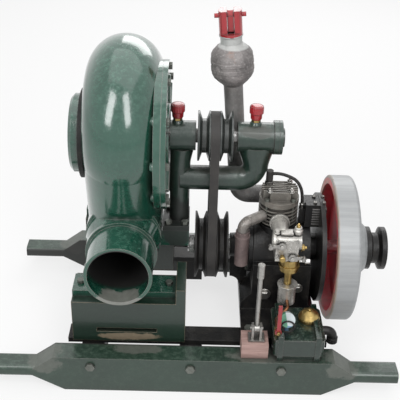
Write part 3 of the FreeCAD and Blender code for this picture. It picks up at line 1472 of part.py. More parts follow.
def make_tank():
    left = D.tank_left
    right = left + D.tank_length
    front = tank_front
    back = front + D.tank_depth
    corners = [(left, front), (right, front), (right, back), (left, back)]
    shell = padded(corners, D.tank_height, (0, 0, tank_low))
    rounded(shell, D.tank_round, lambda edge: is_straight_along(edge, Vector(0, 0, 1)))
    wall = D.tank_wall
    trim = D.tank_round
    span_z = (tank_low + wall, tank_top - wall)
    hollow = block((left + trim, right - trim), (front + wall, back - wall), span_z)
    skirt = block((left + trim, right - trim), (front + 3, -inner_face), (D.rail_height, tank_low))
    neck = rod(D.filler_radius, D.filler_rise, (D.filler_place, filler_depth, tank_top), "+Z")
    bore_at = (D.filler_place, filler_depth, tank_top - wall - 1)
    neck_bore = rod(D.filler_radius - wall, D.filler_rise + wall + 2, bore_at, "+Z")
    node("fuel_tank", cut(fuse(shell, skirt, neck), hollow, neck_bore))

    inside = D.filler_radius + 0.3
    rim = D.filler_rise
    outline = [
        (0.4, inside),
        (0.4, D.cap_radius),
        (rim, D.cap_radius),
        (D.cap_height * 0.75, D.cap_radius * 0.75),
        (D.cap_height, D.cap_radius * 0.3),
        (D.cap_height, 0),
        (rim + 0.3, 0),
        (rim + 0.3, inside),
    ]
    node("filler_cap", turned(outline, (D.filler_place, filler_depth, tank_top), ALONG["-X"]))

    x = D.gauge_place
    y = gauge_depth
    centre_height = tank_top + D.gauge_height
    stem = rod(4, D.gauge_height, (x, y, tank_top), "+Z")
    dial = doc.addObject("Part::Cylinder", "Dial")
    bind(dial, "Radius", D.gauge_radius)
    bind(dial, "Height", D.gauge_thickness)
    place(dial, (x, y + 4, centre_height - 4), (Vector(1, 0, 0), GAUGE_TILT))
    node("fuel_gauge", fuse(stem, dial))

    x = D.tap_place
    y = tap_depth
    cock = rod(TAP_RADIUS, 12, (x, y, tank_top), "+Z")
    pin = rod(3, 15, (x, y - 15, tap_pin_height), "+Y")
    head = rod(TAP_RADIUS, 6, (x, y - 3, tap_pin_height), "+Y")
    node("fuel_tap", fuse(cock, pin, head))
    face = y - TAP_RADIUS - 0.5 - TAP_LEVER
    hub = rod(TAP_RADIUS, TAP_LEVER, (x, face, tap_pin_height), "+Y")
    arm_top = tap_pin_height + D.tap_lever_length
    arm = block((x - 3.5, x + 3.5), (face, face + TAP_LEVER), (tap_pin_height, arm_top))
    eye = rod(3 + RUNNING_GAP, TAP_LEVER + 2, (x, face - 1, tap_pin_height), "+Y")
    node("tap_lever", cut(fuse(hub, arm), eye))

    y = DRAIN_DEPTH
    height = tank_low + D.tank_height * 0.6
    reach = as_size(20)
    route = [(right, y, height), (right + reach, y, height), (right + reach, y, height - 24)]
    elbow = bent_solid(route, DRAIN_RADIUS, 12)
    for index in range(3):
        at = Vector((right + reach).value, y, height.value - 24 + index * 4)
        elbow = elbow.fuse(Part.makeCylinder(DRAIN_RADIUS + 2, 2, at))
    node("drain_elbow", shaped(elbow))


GAUGE_TILT = 62
TAP_LEVER = 5
DRAIN_DEPTH = -150
DRAIN_RADIUS = 8
tap_pin_height = tank_top + 12


# ---------------------------------------------------------------- controls

lever_pin_y = block_front + D.block_depth / 2
lever_pin_z = D.rail_height + D.block_height + D.lever_pin_height


def make_controls():
    left = D.block_left
    top = D.rail_height + D.block_height
    span_y = (block_front, block_front + D.block_depth)
    wood = block((left, left + D.block_length), span_y, (D.rail_height, top))
    node("wood_block", wood)
    x = D.lever_place
    y = lever_pin_y
    plate = block((x - 14, x + 14), (y - 12, y + 12), (top, top + 3))
    ears = [block(span, (y - 7, y + 7), (top, lever_pin_z + 7)) for span in ((x - 9, x - 5), (x + 5, x + 9))]
    pin = rod(3, 22, (x - 11, y, lever_pin_z), "+X")
    node("lever_bracket", fuse(plate, *ears, pin))
    hub = rod(7, 9, (x - 4.5, y, lever_pin_z), "+X")
    shank = rod(4, D.lever_length, (x, y, lever_pin_z), "+Z")
    grip = rod(6, 26, (x, y, lever_pin_z + D.lever_length - 20), "+Z")
    eye = rod(3 + RUNNING_GAP, 12, (x - 6, y, lever_pin_z), "+X")
    node("control_lever", cut(fuse(hub, shank, grip), eye))


# ---------------------------------------------------------------- fasteners

def make_machine_bolts():
    bolts = []
    for x, y, z in joint_bolt_places():
        reach = D.back_plate_thickness + D.joint_thickness * 0.7
        bolts.append(bolt(SMALL_BOLT, reach, 5, (x, y, z), "-X"))
    for x, y, z in front_feet + rear_feet:
        bolts.append(bolt(SMALL_BOLT, D.foot_thickness + 15, 6, (x, y, z), "-Z"))
    for x, y in bracket_bolt_places():
        bolts.append(bolt(SMALL_BOLT, D.bracket_foot + 12, 6, (x, y, D.shelf_top + D.bracket_foot), "-Z"))
    for x, y in base_bolt_places():
        bolts.append(bolt(BASE_BOLT, D.base_thickness, 7, (x, y, base_top), "-Z"))
    for x, y, z in cover_screw_places():
        bolts.append(bolt(COVER_SCREW, D.cover_thickness, 3, (x, y, z), "+X"))
    for x, y in head_stud_places():
        bolts.append(bolt(HEAD_STUD, HEAD_BASE + 30, 4, (x, y, D.head_bottom + HEAD_BASE), "-Z"))
    return bolts


# ---------------------------------------------------------------- the whole machine

def write_parts():
    doc.recompute()
    for thing in doc.Objects:
        if "Invalid" in thing.State or "Error" in thing.State:
            raise RuntimeError(f"{thing.Label} failed: {thing.State}")
    os.makedirs("parts", exist_ok=True)
    for thing in NODES:
        shape = thing.Shape
        if shape.isNull() or not shape.isValid() or not shape.Solids:
            raise RuntimeError(f"{thing.Label} has a bad shape")
        shape.exportStep(f"parts/{thing.Label}.step")
    print(len(NODES), "nodes")


rail_bolts = make_frame()
make_casing()
make_back_plate()
make_inlet()
make_pedestals()
make_bracket()
make_grease_cups()
make_rotor()
pulley("driven_pulley", D.driven_radius, D.shaft_radius, D.blower_height)
pulley("drive_pulley", D.drive_radius, D.crank_radius, D.crank_height)
make_belt()
make_crankcase()
make_cover()
make_cylinder()
make_piston()
make_crankshaft()
make_ignition()
make_flywheel()
make_exhaust()
make_carburettor()
make_inlet_side()
make_tank()
make_controls()
node("bolts", group(rail_bolts + make_machine_bolts()))
write_parts()
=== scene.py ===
import math

import bmesh
import bpy
from mathutils import Matrix, Vector, noise


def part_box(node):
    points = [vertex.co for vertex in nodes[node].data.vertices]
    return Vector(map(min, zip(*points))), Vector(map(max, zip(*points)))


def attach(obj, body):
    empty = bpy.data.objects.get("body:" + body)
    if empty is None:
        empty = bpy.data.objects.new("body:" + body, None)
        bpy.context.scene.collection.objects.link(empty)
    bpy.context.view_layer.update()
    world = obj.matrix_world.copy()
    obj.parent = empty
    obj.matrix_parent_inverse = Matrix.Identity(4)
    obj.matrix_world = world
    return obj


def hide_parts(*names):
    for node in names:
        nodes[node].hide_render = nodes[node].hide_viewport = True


# Looks for an engine-driven centrifugal blower on a carrying frame.
# Helpers take millimetres in the frame of the CAD model and make meshes in metres.

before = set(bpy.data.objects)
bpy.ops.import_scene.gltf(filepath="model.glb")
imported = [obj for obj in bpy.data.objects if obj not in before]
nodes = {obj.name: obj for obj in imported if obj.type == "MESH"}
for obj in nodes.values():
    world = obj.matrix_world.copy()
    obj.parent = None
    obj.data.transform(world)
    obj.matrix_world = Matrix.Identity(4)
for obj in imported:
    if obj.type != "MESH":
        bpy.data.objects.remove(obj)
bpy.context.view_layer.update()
MM = 0.001

X, Y, Z = Vector((1, 0, 0)), Vector((0, 1, 0)), Vector((0, 0, 1))


def box(node):
    """Lowest and highest corner of a CAD node in millimetres."""
    low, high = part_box(node)
    return low / MM, high / MM


def middle(node):
    low, high = box(node)
    return (low + high) / 2


# ---------------------------------------------------------------- mesh helpers

def facing(axis):
    """A rotation that turns local Z to the axis."""
    return Vector(axis).normalized().to_track_quat("Z", "Y").to_matrix().to_4x4()


def lathe(form, profile, place, axis=Z, segments=48, closed=False, wave=None):
    """Adds a turned solid: profile holds (along, radius) pairs, wave(angle) scales the radius."""
    turn = Matrix.Translation(Vector(place)) @ facing(axis)
    rings = []
    for along, radius in profile:
        ring = []
        for index in range(segments):
            angle = 2 * math.pi * index / segments
            reach = radius * (wave(angle) if wave else 1)
            spot = turn @ Vector((reach * math.cos(angle), reach * math.sin(angle), along))
            ring.append(form.verts.new(spot * MM))
        rings.append(ring)
    if not closed:
        form.faces.new(list(reversed(rings[0])))
        form.faces.new(rings[-1])
    pairs = list(zip(rings, rings[1:]))
    if closed:
        pairs.append((rings[-1], rings[0]))
    for lower, upper in pairs:
        for index in range(segments):
            after = (index + 1) % segments
            form.faces.new((lower[index], lower[after], upper[after], upper[index]))


def slab(form, low, high, bevel=1.0, turn=None):
    """Adds a block between two corners with rounded edges."""
    made = bmesh.ops.create_cube(form, size=1)["verts"]
    centre = (Vector(low) + Vector(high)) / 2
    size = Vector(high) - Vector(low)
    for vert in made:
        spot = centre + Vector(part * full for part, full in zip(vert.co, size))
        vert.co = (turn @ spot if turn else spot) * MM
    edges = {edge for vert in made for edge in vert.link_edges}
    bmesh.ops.bevel(form, geom=list(edges), offset=bevel * MM, segments=2, affect="EDGES", profile=0.5)


def hex_head(form, place, axis, across, height, washer=True, stud=0.0):
    """Adds a chamfered hexagon with a washer under it and a stud end above it."""
    radius = across / math.sqrt(3)
    if washer:
        rim = across * 0.72
        lathe(form, [(0, rim - 0.5), (0.3, rim), (1.2, rim), (1.6, rim - 0.5)], place, axis, 24)
    base = 1.4 if washer else 0
    top = base + height
    crown = [(base, radius), (top - height * 0.2, radius), (top, radius * 0.86)]
    lathe(form, crown, place, axis, 6)
    if stud:
        shank = across * 0.3
        end = top + stud
        lathe(form, [(top - 1, shank), (end - 0.8, shank), (end, shank * 0.7)], place, axis, 16)


def slot_screw(form, place, axis, radius, height):
    """Adds a round screw head with a driver slot made of two half domes."""
    turn = Matrix.Translation(Vector(place)) @ facing(axis)
    for side in (-1, 1):
        ends = [side * 0.14 * radius, side * radius]
        low = Vector((min(ends), -radius, 0))
        high = Vector((max(ends), radius, height))
        made = bmesh.ops.create_cube(form, size=1)["verts"]
        for vert in made:
            spot = Vector((
                low.x + (vert.co.x + 0.5) * (high.x - low.x),
                vert.co.y * 2 * radius,
                (vert.co.z + 0.5) * height,
            ))
            reach = math.hypot(spot.x, spot.y)
            if reach > radius:
                spot.x, spot.y = spot.x * radius / reach, spot.y * radius / reach
            vert.co = (turn @ spot) * MM
        edges = {edge for vert in made for edge in vert.link_edges}
        bmesh.ops.bevel(form, geom=list(edges), offset=0.18 * radius * MM, segments=2, affect="EDGES")
    lathe(form, [(-0.2, radius * 0.95), (height * 0.45, radius * 0.9)], place, axis, 20)


def loft(form, sections):
    """Adds a skin over sections, each (centre, half width along X, half depth along Y)."""
    count = 40
    rings = []
    for centre, wide, deep in sections:
        ring = []
        for index in range(count):
            angle = 2 * math.pi * index / count
            offset = Vector((wide * math.cos(angle), deep * math.sin(angle), 0))
            ring.append(form.verts.new((Vector(centre) + offset) * MM))
        rings.append(ring)
    form.faces.new(list(reversed(rings[0])))
    form.faces.new(rings[-1])
    for lower, upper in zip(rings, rings[1:]):
        for index in range(count):
            after = (index + 1) % count
            form.faces.new((lower[index], lower[after], upper[after], upper[index]))


def roughen(thing, amount, scale):
    """Moves a mesh's points along their normals by seeded noise, as in a sand casting."""
    mesh = thing.data
    normals = [vert.normal.copy() for vert in mesh.vertices]
    for vert, normal in zip(mesh.vertices, normals):
        vert.co += normal * (noise.noise(vert.co * scale) * amount * MM)


def piece(name, form, finish, body="machine", replaces=(), sharp=35):
    """Turns a filled bmesh into a shaded piece that rides on a body."""
    bmesh.ops.recalc_face_normals(form, faces=form.faces)
    mesh = bpy.data.meshes.new(name)
    form.to_mesh(mesh)
    form.free()
    mesh.materials.append(finish)
    for face in mesh.polygons:
        face.use_smooth = True
    mesh.set_sharp_from_angle(angle=math.radians(sharp))
    thing = bpy.data.objects.new(name, mesh)
    bpy.context.scene.collection.objects.link(thing)
    return settle(thing, body, replaces)


def settle(thing, body, replaces=()):
    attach(thing, body)
    if replaces:
        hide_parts(*replaces)
    return thing


def wire(name, points, radius, finish, body="machine", replaces=()):
    """A bent rod or lead: a NURBS line through given control points."""
    curve = bpy.data.curves.new(name, "CURVE")
    curve.dimensions = "3D"
    curve.bevel_depth = radius * MM
    curve.bevel_resolution = 5
    curve.resolution_u = 16
    curve.use_fill_caps = True
    spline = curve.splines.new("NURBS")
    spline.points.add(len(points) - 1)
    for spot, point in zip(spline.points, points):
        spot.co = (*(Vector(point) * MM), 1)
    spline.order_u = 3
    spline.use_endpoint_u = True
    curve.materials.append(finish)
    thing = bpy.data.objects.new(name, curve)
    bpy.context.scene.collection.objects.link(thing)
    return settle(thing, body, replaces)


# ---------------------------------------------------------------- material helpers

def dim(colour, share):
    """The colour at a share of its brightness."""
    return tuple(part * share for part in colour)


class Surface:
    """A material being made, with short names for the nodes that the finishes share."""

    def __init__(self, name):
        self.material = bpy.data.materials.new(name)
        self.material.use_nodes = True
        self.tree = self.material.node_tree
        self.shader = self.tree.nodes["Principled BSDF"]
        coordinates = self.node("ShaderNodeTexCoord")
        self.place = coordinates.outputs["Object"]
        self.normal = coordinates.outputs["Normal"]

    def node(self, kind, values=None, **settings):
        made = self.tree.nodes.new(kind)
        for key, value in settings.items():
            setattr(made, key, value)
        for socket, value in (values or {}).items():
            self.put(made.inputs[socket], value)
        return made

    def put(self, socket, value):
        if isinstance(value, bpy.types.NodeSocket):
            self.tree.links.new(value, socket)
        elif isinstance(value, tuple) and len(value) == 3 and socket.type == "RGBA":
            socket.default_value = (*value, 1)
        else:
            socket.default_value = value

    def set(self, **values):
        for key, value in values.items():
            self.put(self.shader.inputs[key.replace("_", " ")], value)

    def noise(self, scale, detail=5.0, roughness=0.6, stretch=(1.0, 1.0, 1.0), distortion=0.0):
        spread = self.node("ShaderNodeMapping", {"Vector": self.place, "Scale": stretch})
        values = {"Vector": spread.outputs[0], "Scale": scale, "Detail": detail}
        values |= {"Roughness": roughness, "Distortion": distortion}
        return self.node("ShaderNodeTexNoise", values).outputs["Fac"]

    def cells(self, scale, stretch=(1.0, 1.0, 1.0)):
        spread = self.node("ShaderNodeMapping", {"Vector": self.place, "Scale": stretch})
        values = {"Vector": spread.outputs[0], "Scale": scale}
        return self.node("ShaderNodeTexVoronoi", values).outputs["Distance"]

    def mask(self, value, low, high):
        """0 below low, 1 above high, smooth between; low above high turns it over."""
        values = {"Value": value, "From Min": low, "From Max": high}
        return self.node("ShaderNodeMapRange", values, interpolation_type="SMOOTHSTEP").outputs["Result"]

    def sum(self, operation, first, second):
        return self.node("ShaderNodeMath", {0: first, 1: second}, operation=operation).outputs[0]

    def times(self, first, second):
        return self.sum("MULTIPLY", first, second)

    def either(self, first, second):
        return self.sum("MAXIMUM", first, second)

    def mix(self, share, first, second):
        """A colour between two colours."""
        values = {0: share, 6: first, 7: second}
        return self.node("ShaderNodeMix", values, data_type="RGBA").outputs[2]

    def between(self, share, first, second):
        """A number between two numbers."""
        return self.node("ShaderNodeMix", {0: share, 2: first, 3: second}).outputs[0]

    def part(self, vector, axis):
        return self.node("ShaderNodeSeparateXYZ", {0: vector}).outputs[axis]

    def edges(self, radius, low=0.02, high=0.12, ragged=0.12):
        """A mask of convex edges, broken up by noise."""
        soft = self.node("ShaderNodeBevel", {"Radius": radius}, samples=6)
        hard = self.node("ShaderNodeNewGeometry").outputs["Normal"]
        values = {0: soft.outputs[0], 1: hard}
        dot = self.node("ShaderNodeVectorMath", values, operation="DOT_PRODUCT").outputs["Value"]
        bent = self.sum("SUBTRACT", 1.0, dot)
        rough = self.times(self.sum("SUBTRACT", self.noise(120, 6, 0.7), 0.52), ragged)
        return self.mask(self.sum("ADD", bent, rough), low, high)

    def hollows(self, distance, low=0.25, high=0.85):
        """A mask of inner corners and narrow gaps from ambient occlusion, used for dirt and painted shade."""
        shade = self.node("ShaderNodeAmbientOcclusion", {"Distance": distance}, samples=6)
        return self.mask(shade.outputs["AO"], high, low)

    def patch(self, centre, reach, ragged=0.5, scale=60):
        """A ragged patch round a point, with its reach along X, Y and Z in millimetres."""
        size = tuple(1 / (part * MM) for part in reach)
        offset = tuple(-part / full for part, full in zip(centre, reach))
        values = {"Vector": self.place, "Location": offset, "Scale": size}
        local = self.node("ShaderNodeMapping", values).outputs[0]
        length = self.node("ShaderNodeVectorMath", {0: local}, operation="LENGTH").outputs["Value"]
        rough = self.times(self.sum("SUBTRACT", self.noise(scale, 6, 0.7), 0.5), ragged * 2)
        return self.mask(self.sum("ADD", length, rough), 1.08, 0.82)

    def relief(self, height, distance, strength=1.0, rounding=0.0):
        """Bump from a height, over normals that round off hard edges."""
        values = {"Height": height, "Distance": distance, "Strength": strength}
        if rounding:
            soft = self.node("ShaderNodeBevel", {"Radius": rounding}, samples=6)
            values["Normal"] = soft.outputs[0]
        self.set(Normal=self.node("ShaderNodeBump", values).outputs[0])


# near black, painted where a shade mask marks painted shade
SHADE_BLACK = (0.008, 0.0075, 0.007)


def paint(
    name, colour, faded, bare,
    wear=1.0, mottle=0.5, gloss=0.22, patches=(), grime_and_shade=0.8, scuff=0.8, coat=0.25, shade=None,
):
    """Old gloss paint: faded tops, chipped edges, dirt and painted shade in the hollows.

    Each patch is the centre and reach of a rubbed place; shade(surface) gives a mask of painted shade, where
    the paint turns near black.
    """
    surface = Surface(name)
    cloud = surface.noise(7, 4, 0.55)
    speckle = surface.noise(110, 8, 0.78)
    up = surface.mask(surface.part(surface.normal, 2), 0.15, 0.95)
    base = surface.mix(surface.mask(cloud, 0.35, 0.68), colour, dim(colour, 0.72))
    worn = surface.times(surface.mask(speckle, 0.44, 0.66), surface.between(up, mottle * 0.22, mottle))
    base = surface.mix(worn, base, faded)
    chips = surface.edges(0.0022, 0.05 / wear, 0.16 / wear)
    scuffs = surface.times(surface.mask(surface.noise(16, 9, 0.75, distortion=0.6), 0.64, 0.74), scuff)
    bared = surface.either(chips, scuffs)
    for centre, reach in patches:
        bared = surface.either(bared, surface.times(surface.patch(centre, reach, 0.7, 45), 0.75))
    tone = surface.mix(surface.noise(90, 6), bare, dim(bare, 0.45))
    base = surface.mix(bared, base, tone)
    # dirt and painted shade: hollows found by ambient occlusion are darkened to near black
    dirt_and_shade = surface.times(surface.hollows(0.022), surface.between(surface.noise(30, 5), grime_and_shade * 0.5, grime_and_shade))
    base = surface.mix(dirt_and_shade, base, (0.018, 0.017, 0.014))
    dull = surface.either(surface.either(bared, dirt_and_shade), surface.times(worn, 0.5))
    weight = coat
    # painted shade: where the shade mask is high, the paint turns near black and loses its coat
    if shade:
        dark = shade(surface)
        base = surface.mix(dark, base, SHADE_BLACK)
        dull = surface.either(dull, dark)
        weight = surface.between(dark, coat, 0.0)
    surface.set(Base_Color=base, Coat_Weight=weight, Coat_Roughness=0.08, IOR=1.6)
    surface.set(Roughness=surface.between(dull, gloss, 0.62))
    ripple = surface.sum("ADD", surface.times(surface.noise(220, 3), 0.35), surface.noise(38, 4))
    height = surface.sum("SUBTRACT", ripple, surface.times(bared, 0.5))
    surface.relief(height, 0.0009, 0.55, 0.0012)
    return surface.material


def casting(name, colour, rust=0.3, metal=0.35, roughness=0.55, grain=0.0012, oil_and_shade=0.5):
    """Bare cast metal: sandy grain, rust bloom, and oily dirt with painted shade darkening the hollows."""
    surface = Surface(name)
    cloud = surface.noise(22, 6, 0.65)
    grit = surface.noise(260, 5, 0.7)
    base = surface.mix(surface.mask(cloud, 0.3, 0.7), colour, dim(colour, 0.5))
    pale = tuple(min(1.0, part * 1.7) for part in colour)
    base = surface.mix(surface.times(surface.mask(grit, 0.55, 0.75), 0.7), base, pale)
    bloom = surface.times(surface.mask(surface.noise(48, 8, 0.75), 0.52, 0.7), rust)
    base = surface.mix(bloom, base, (0.16, 0.07, 0.035))
    shine = surface.times(surface.edges(0.0016, 0.04, 0.2), 0.6)
    base = surface.mix(shine, base, pale)
    # oily dirt and painted shade: hollows found by ambient occlusion are darkened to near black
    dirt_and_shade = surface.times(surface.hollows(0.018), oil_and_shade)
    base = surface.mix(dirt_and_shade, base, (0.012, 0.011, 0.01))
    surface.set(Base_Color=base, Metallic=metal)
    surface.set(Roughness=surface.between(surface.mask(cloud, 0.35, 0.7), roughness, roughness * 0.7))
    surface.relief(surface.sum("ADD", grit, surface.times(cloud, 0.8)), grain, 0.7, 0.0008)
    return surface.material


def bright_metal(name, colour, roughness=0.3, stain=0.4, metal=1.0):
    """Machined or plated metal with fingermarks and stains."""
    surface = Surface(name)
    lines = surface.noise(160, 4, 0.6)
    smear = surface.noise(18, 6, 0.6)
    base = surface.mix(surface.mask(lines, 0.3, 0.75), colour, dim(colour, 0.72))
    spots = surface.times(surface.mask(smear, 0.5, 0.72), stain)
    base = surface.mix(spots, base, dim(colour, 0.3))
    # dirt and painted shade: hollows found by ambient occlusion are darkened to near black
    dirt_and_shade = surface.times(surface.hollows(0.012), 0.7)
    base = surface.mix(dirt_and_shade, base, (0.02, 0.018, 0.015))
    surface.set(Base_Color=base, Metallic=metal)
    surface.set(Roughness=surface.between(surface.either(spots, dirt_and_shade), roughness, 0.6))
    surface.relief(surface.sum("ADD", lines, smear), 0.0003, 0.5, 0.0006)
    return surface.material


def oily_black(name, colour=(0.007, 0.007, 0.0075), roughness=0.34, dust=0.35):
    """Black enamel under years of oil, with grey-brown dust stuck to it."""
    surface = Surface(name)
    film = surface.noise(26, 7, 0.68)
    base = surface.mix(surface.mask(film, 0.42, 0.7), colour, (0.022, 0.02, 0.018))
    flecks = surface.times(surface.mask(surface.noise(95, 8, 0.75), 0.6, 0.74), dust)
    base = surface.mix(flecks, base, (0.10, 0.092, 0.082))
    worn = surface.times(surface.edges(0.0016, 0.06, 0.22), 0.4)
    base = surface.mix(worn, base, (0.12, 0.115, 0.11))
    surface.set(Base_Color=base, Coat_Weight=0.0, Specular_IOR_Level=0.28)
    surface.set(Roughness=surface.between(surface.either(flecks, worn), roughness, 0.65))
    surface.relief(surface.sum("ADD", film, surface.noise(240, 4)), 0.0011, 0.6, 0.001)
    return surface.material


def make_rubber(name, colour=(0.035, 0.033, 0.032), ply=900, chalk=0.5):
    """Cracked, dusty rubber with a woven face."""
    surface = Surface(name)
    weave = surface.noise(ply, 2, 0.5, (1.0, 0.35, 0.35))
    cracks = surface.mask(surface.cells(240, (0.4, 1.0, 1.0)), 0.05, 0.0)
    dusty = surface.times(surface.mask(surface.noise(45, 6, 0.7), 0.4, 0.66), chalk)
    base = surface.mix(dusty, colour, (0.06, 0.056, 0.052))
    base = surface.mix(surface.times(surface.edges(0.0014, 0.03, 0.2), 0.6), base, (0.15, 0.145, 0.14))
    base = surface.mix(cracks, base, (0.006, 0.006, 0.006))
    surface.set(Base_Color=base, Roughness=surface.between(dusty, 0.55, 0.85), Specular_IOR_Level=0.3)
    surface.relief(surface.sum("SUBTRACT", weave, cracks), 0.0004, 0.6, 0.0008)
    return surface.material


def make_wood(name):
    """Weathered softwood with stained grain along X."""
    surface = Surface(name)
    grain = surface.noise(60, 6, 0.6, (0.12, 1.0, 1.0), 0.8)
    fibre = surface.noise(500, 3, 0.6, (0.05, 1.0, 1.0))
    base = surface.mix(surface.mask(grain, 0.35, 0.65), (0.44, 0.29, 0.26), (0.27, 0.17, 0.15))
    base = surface.mix(surface.times(surface.mask(fibre, 0.5, 0.8), 0.4), base, (0.55, 0.44, 0.40))
    # dirt and painted shade: hollows found by ambient occlusion are darkened to a dark brown
    base = surface.mix(surface.times(surface.hollows(0.02), 0.8), base, (0.05, 0.035, 0.03))
    surface.set(Base_Color=base, Roughness=surface.between(grain, 0.6, 0.8))
    surface.relief(surface.sum("ADD", grain, fibre), 0.0007, 0.6, 0.0015)
    return surface.material


GREEN = (0.007, 0.068, 0.042)
GREEN_FADED = (0.048, 0.138, 0.098)
RAIL_GREEN = (0.012, 0.034, 0.021)
GREY_BARE = (0.30, 0.285, 0.26)
SILVER = (0.34, 0.35, 0.355)
RED = (0.33, 0.009, 0.016)


def flywheel_finish():
    """Silver paint on the outside and red on the hollow near face, split by radius and depth."""
    surface = Surface("flywheel_paint")
    low, high = box("flywheel")
    axis = middle("flywheel")
    values = {0: surface.place, 1: (0.0, 1.0, 1.0)}
    across = surface.node("ShaderNodeVectorMath", values, operation="MULTIPLY").outputs[0]
    values = {0: across, 1: (0.0, 0.0, axis.z * MM)}
    radius = surface.node("ShaderNodeVectorMath", values, operation="DISTANCE").outputs["Value"]
    rim = (high.z - low.z) / 2
    streaks = surface.noise(120, 5, 0.6, (0.06, 1.0, 1.0))
    smear = surface.noise(14, 6, 0.65, (0.5, 1.0, 1.0))
    silver = surface.mix(surface.mask(streaks, 0.3, 0.75), SILVER, dim(SILVER, 0.82))
    silver = surface.mix(surface.times(surface.mask(smear, 0.58, 0.75), 0.35), silver, (0.26, 0.24, 0.22))
    # painted shade: the silver is darkened to a dim brown towards the bottom of the wheel
    foot = surface.mask(surface.part(surface.place, 2), (low.z + 46) * MM, (low.z + 2) * MM)
    silver = surface.mix(surface.times(foot, 0.75), silver, (0.15, 0.125, 0.11))
    near = surface.mask(surface.part(surface.place, 0), (low.x + 26) * MM, (low.x + 25) * MM)
    inside = surface.mask(radius, (rim - 4.0) * MM, (rim - 6.0) * MM)
    faded = surface.mask(surface.noise(40, 7, 0.7), 0.4, 0.7)
    red = surface.mix(faded, (0.72, 0.045, 0.07), (0.48, 0.06, 0.07))
    lip = surface.mask(surface.part(surface.place, 0), (low.x + 5) * MM, (low.x + 1) * MM)
    base = surface.mix(surface.times(near, inside), silver, red)
    stain = surface.times(surface.times(lip, surface.mask(surface.noise(30, 6), 0.35, 0.6)), 0.7)
    base = surface.mix(stain, base, (0.33, 0.25, 0.18))
    # dirt and painted shade: hollows found by ambient occlusion are darkened
    dirt_and_shade = surface.times(surface.hollows(0.012, 0.15, 0.6), 0.5)
    base = surface.mix(dirt_and_shade, base, (0.03, 0.025, 0.022))
    shine = surface.times(surface.sum("SUBTRACT", 1.0, surface.times(near, inside)), 0.3)
    surface.set(Base_Color=base, Metallic=shine)
    surface.set(Roughness=surface.between(dirt_and_shade, 0.46, 0.7))
    surface.relief(surface.noise(260, 4), 0.0003, 0.4, 0.0015)
    return surface.material


def gauge_finish():
    """A round dial in coloured sectors round a pale middle."""
    surface = Surface("dial_print")
    centre = middle("fuel_gauge")
    values = {0: surface.place, 1: tuple(centre * MM)}
    local = surface.node("ShaderNodeVectorMath", values, operation="SUBTRACT").outputs[0]
    values = {0: surface.part(local, 2), 1: surface.part(local, 0)}
    angle = surface.node("ShaderNodeMath", values, operation="ARCTAN2").outputs[0]
    length = surface.node("ShaderNodeVectorMath", {0: local}, operation="LENGTH").outputs["Value"]
    base = surface.mix(surface.mask(angle, 1.75, 1.8), (0.62, 0.7, 0.72), (0.05, 0.26, 0.15))
    base = surface.mix(surface.mask(angle, 0.0, -0.05), base, (0.12, 0.27, 0.42))
    base = surface.mix(surface.mask(angle, -1.9, -1.95), base, (0.05, 0.26, 0.15))
    base = surface.mix(surface.mask(length, 0.0042, 0.0040), base, (0.75, 0.77, 0.76))
    base = surface.mix(surface.times(surface.noise(300, 5), 0.35), base, (0.2, 0.18, 0.14))
    surface.set(Base_Color=base, Roughness=0.35, Coat_Weight=0.5)
    surface.relief(surface.noise(400, 3), 0.0001, 0.4)
    return surface.material


NECK_FOOT = 549


def muffler_finish(colour):
    """Rough scorched casting whose neck, above the ball, is brushed with silver paint."""
    surface = Surface("scorched_casting")
    height = surface.part(surface.place, 2)
    neck = surface.mask(height, NECK_FOOT * MM, (NECK_FOOT + 2.5) * MM)
    cloud = surface.noise(30, 7, 0.7)
    grit = surface.noise(220, 6, 0.72)
    base = surface.mix(surface.mask(cloud, 0.3, 0.7), colour, dim(colour, 0.45))
    base = surface.mix(surface.times(surface.mask(grit, 0.5, 0.72), 0.75), base, (0.42, 0.40, 0.39))
    rust = surface.times(surface.mask(surface.noise(20, 6, 0.7), 0.58, 0.72), 0.5)
    base = surface.mix(rust, base, (0.30, 0.15, 0.09))
    base = surface.mix(neck, base, surface.mix(cloud, (0.52, 0.53, 0.52), (0.34, 0.34, 0.33)))
    # soot and painted shade: hollows found by ambient occlusion are darkened to near black
    soot_and_shade = surface.times(surface.hollows(0.02), 0.7)
    base = surface.mix(soot_and_shade, base, (0.02, 0.018, 0.018))
    surface.set(Base_Color=base, Metallic=0.25, Roughness=surface.between(neck, 0.62, 0.4))
    surface.relief(surface.sum("ADD", grit, cloud), 0.0018, 0.8, 0.001)
    return surface.material


# millimetres: the spigot's axis, the radius within which its bore is painted dark as shade, and how far from
# the
# middle the rails' inner sides painted dark as shade end
SPIGOT_X, SPIGOT_Z = -129, 241
DARK_BORE = 52.2
DARK_SIDE = 164.5


def bore_shade(surface):
    """Painted shade: dark inside the discharge bore and in the corner behind the casing's shelf, where shadow
    falls.
    """
    values = {0: surface.place, 1: (1.0, 0.0, 1.0)}
    across = surface.node("ShaderNodeVectorMath", values, operation="MULTIPLY").outputs[0]
    values = {0: across, 1: (SPIGOT_X * MM, 0.0, SPIGOT_Z * MM)}
    radius = surface.node("ShaderNodeVectorMath", values, operation="DISTANCE").outputs["Value"]
    depth = surface.part(surface.place, 1)
    height = surface.sum("SUBTRACT", surface.part(surface.place, 2), SPIGOT_Z * MM)
    deep = surface.mask(surface.sum("ADD", depth, surface.times(height, 0.45)), -0.192, -0.172)
    deep = surface.times(deep, surface.mask(depth, -0.02, -0.04))
    bore = surface.times(surface.mask(radius, (DARK_BORE + 1.3) * MM, DARK_BORE * MM), deep)
    corner = surface.patch((-38, 0, 222), (30, 80, 30), 0.4)
    return surface.either(bore, surface.times(corner, 0.85))


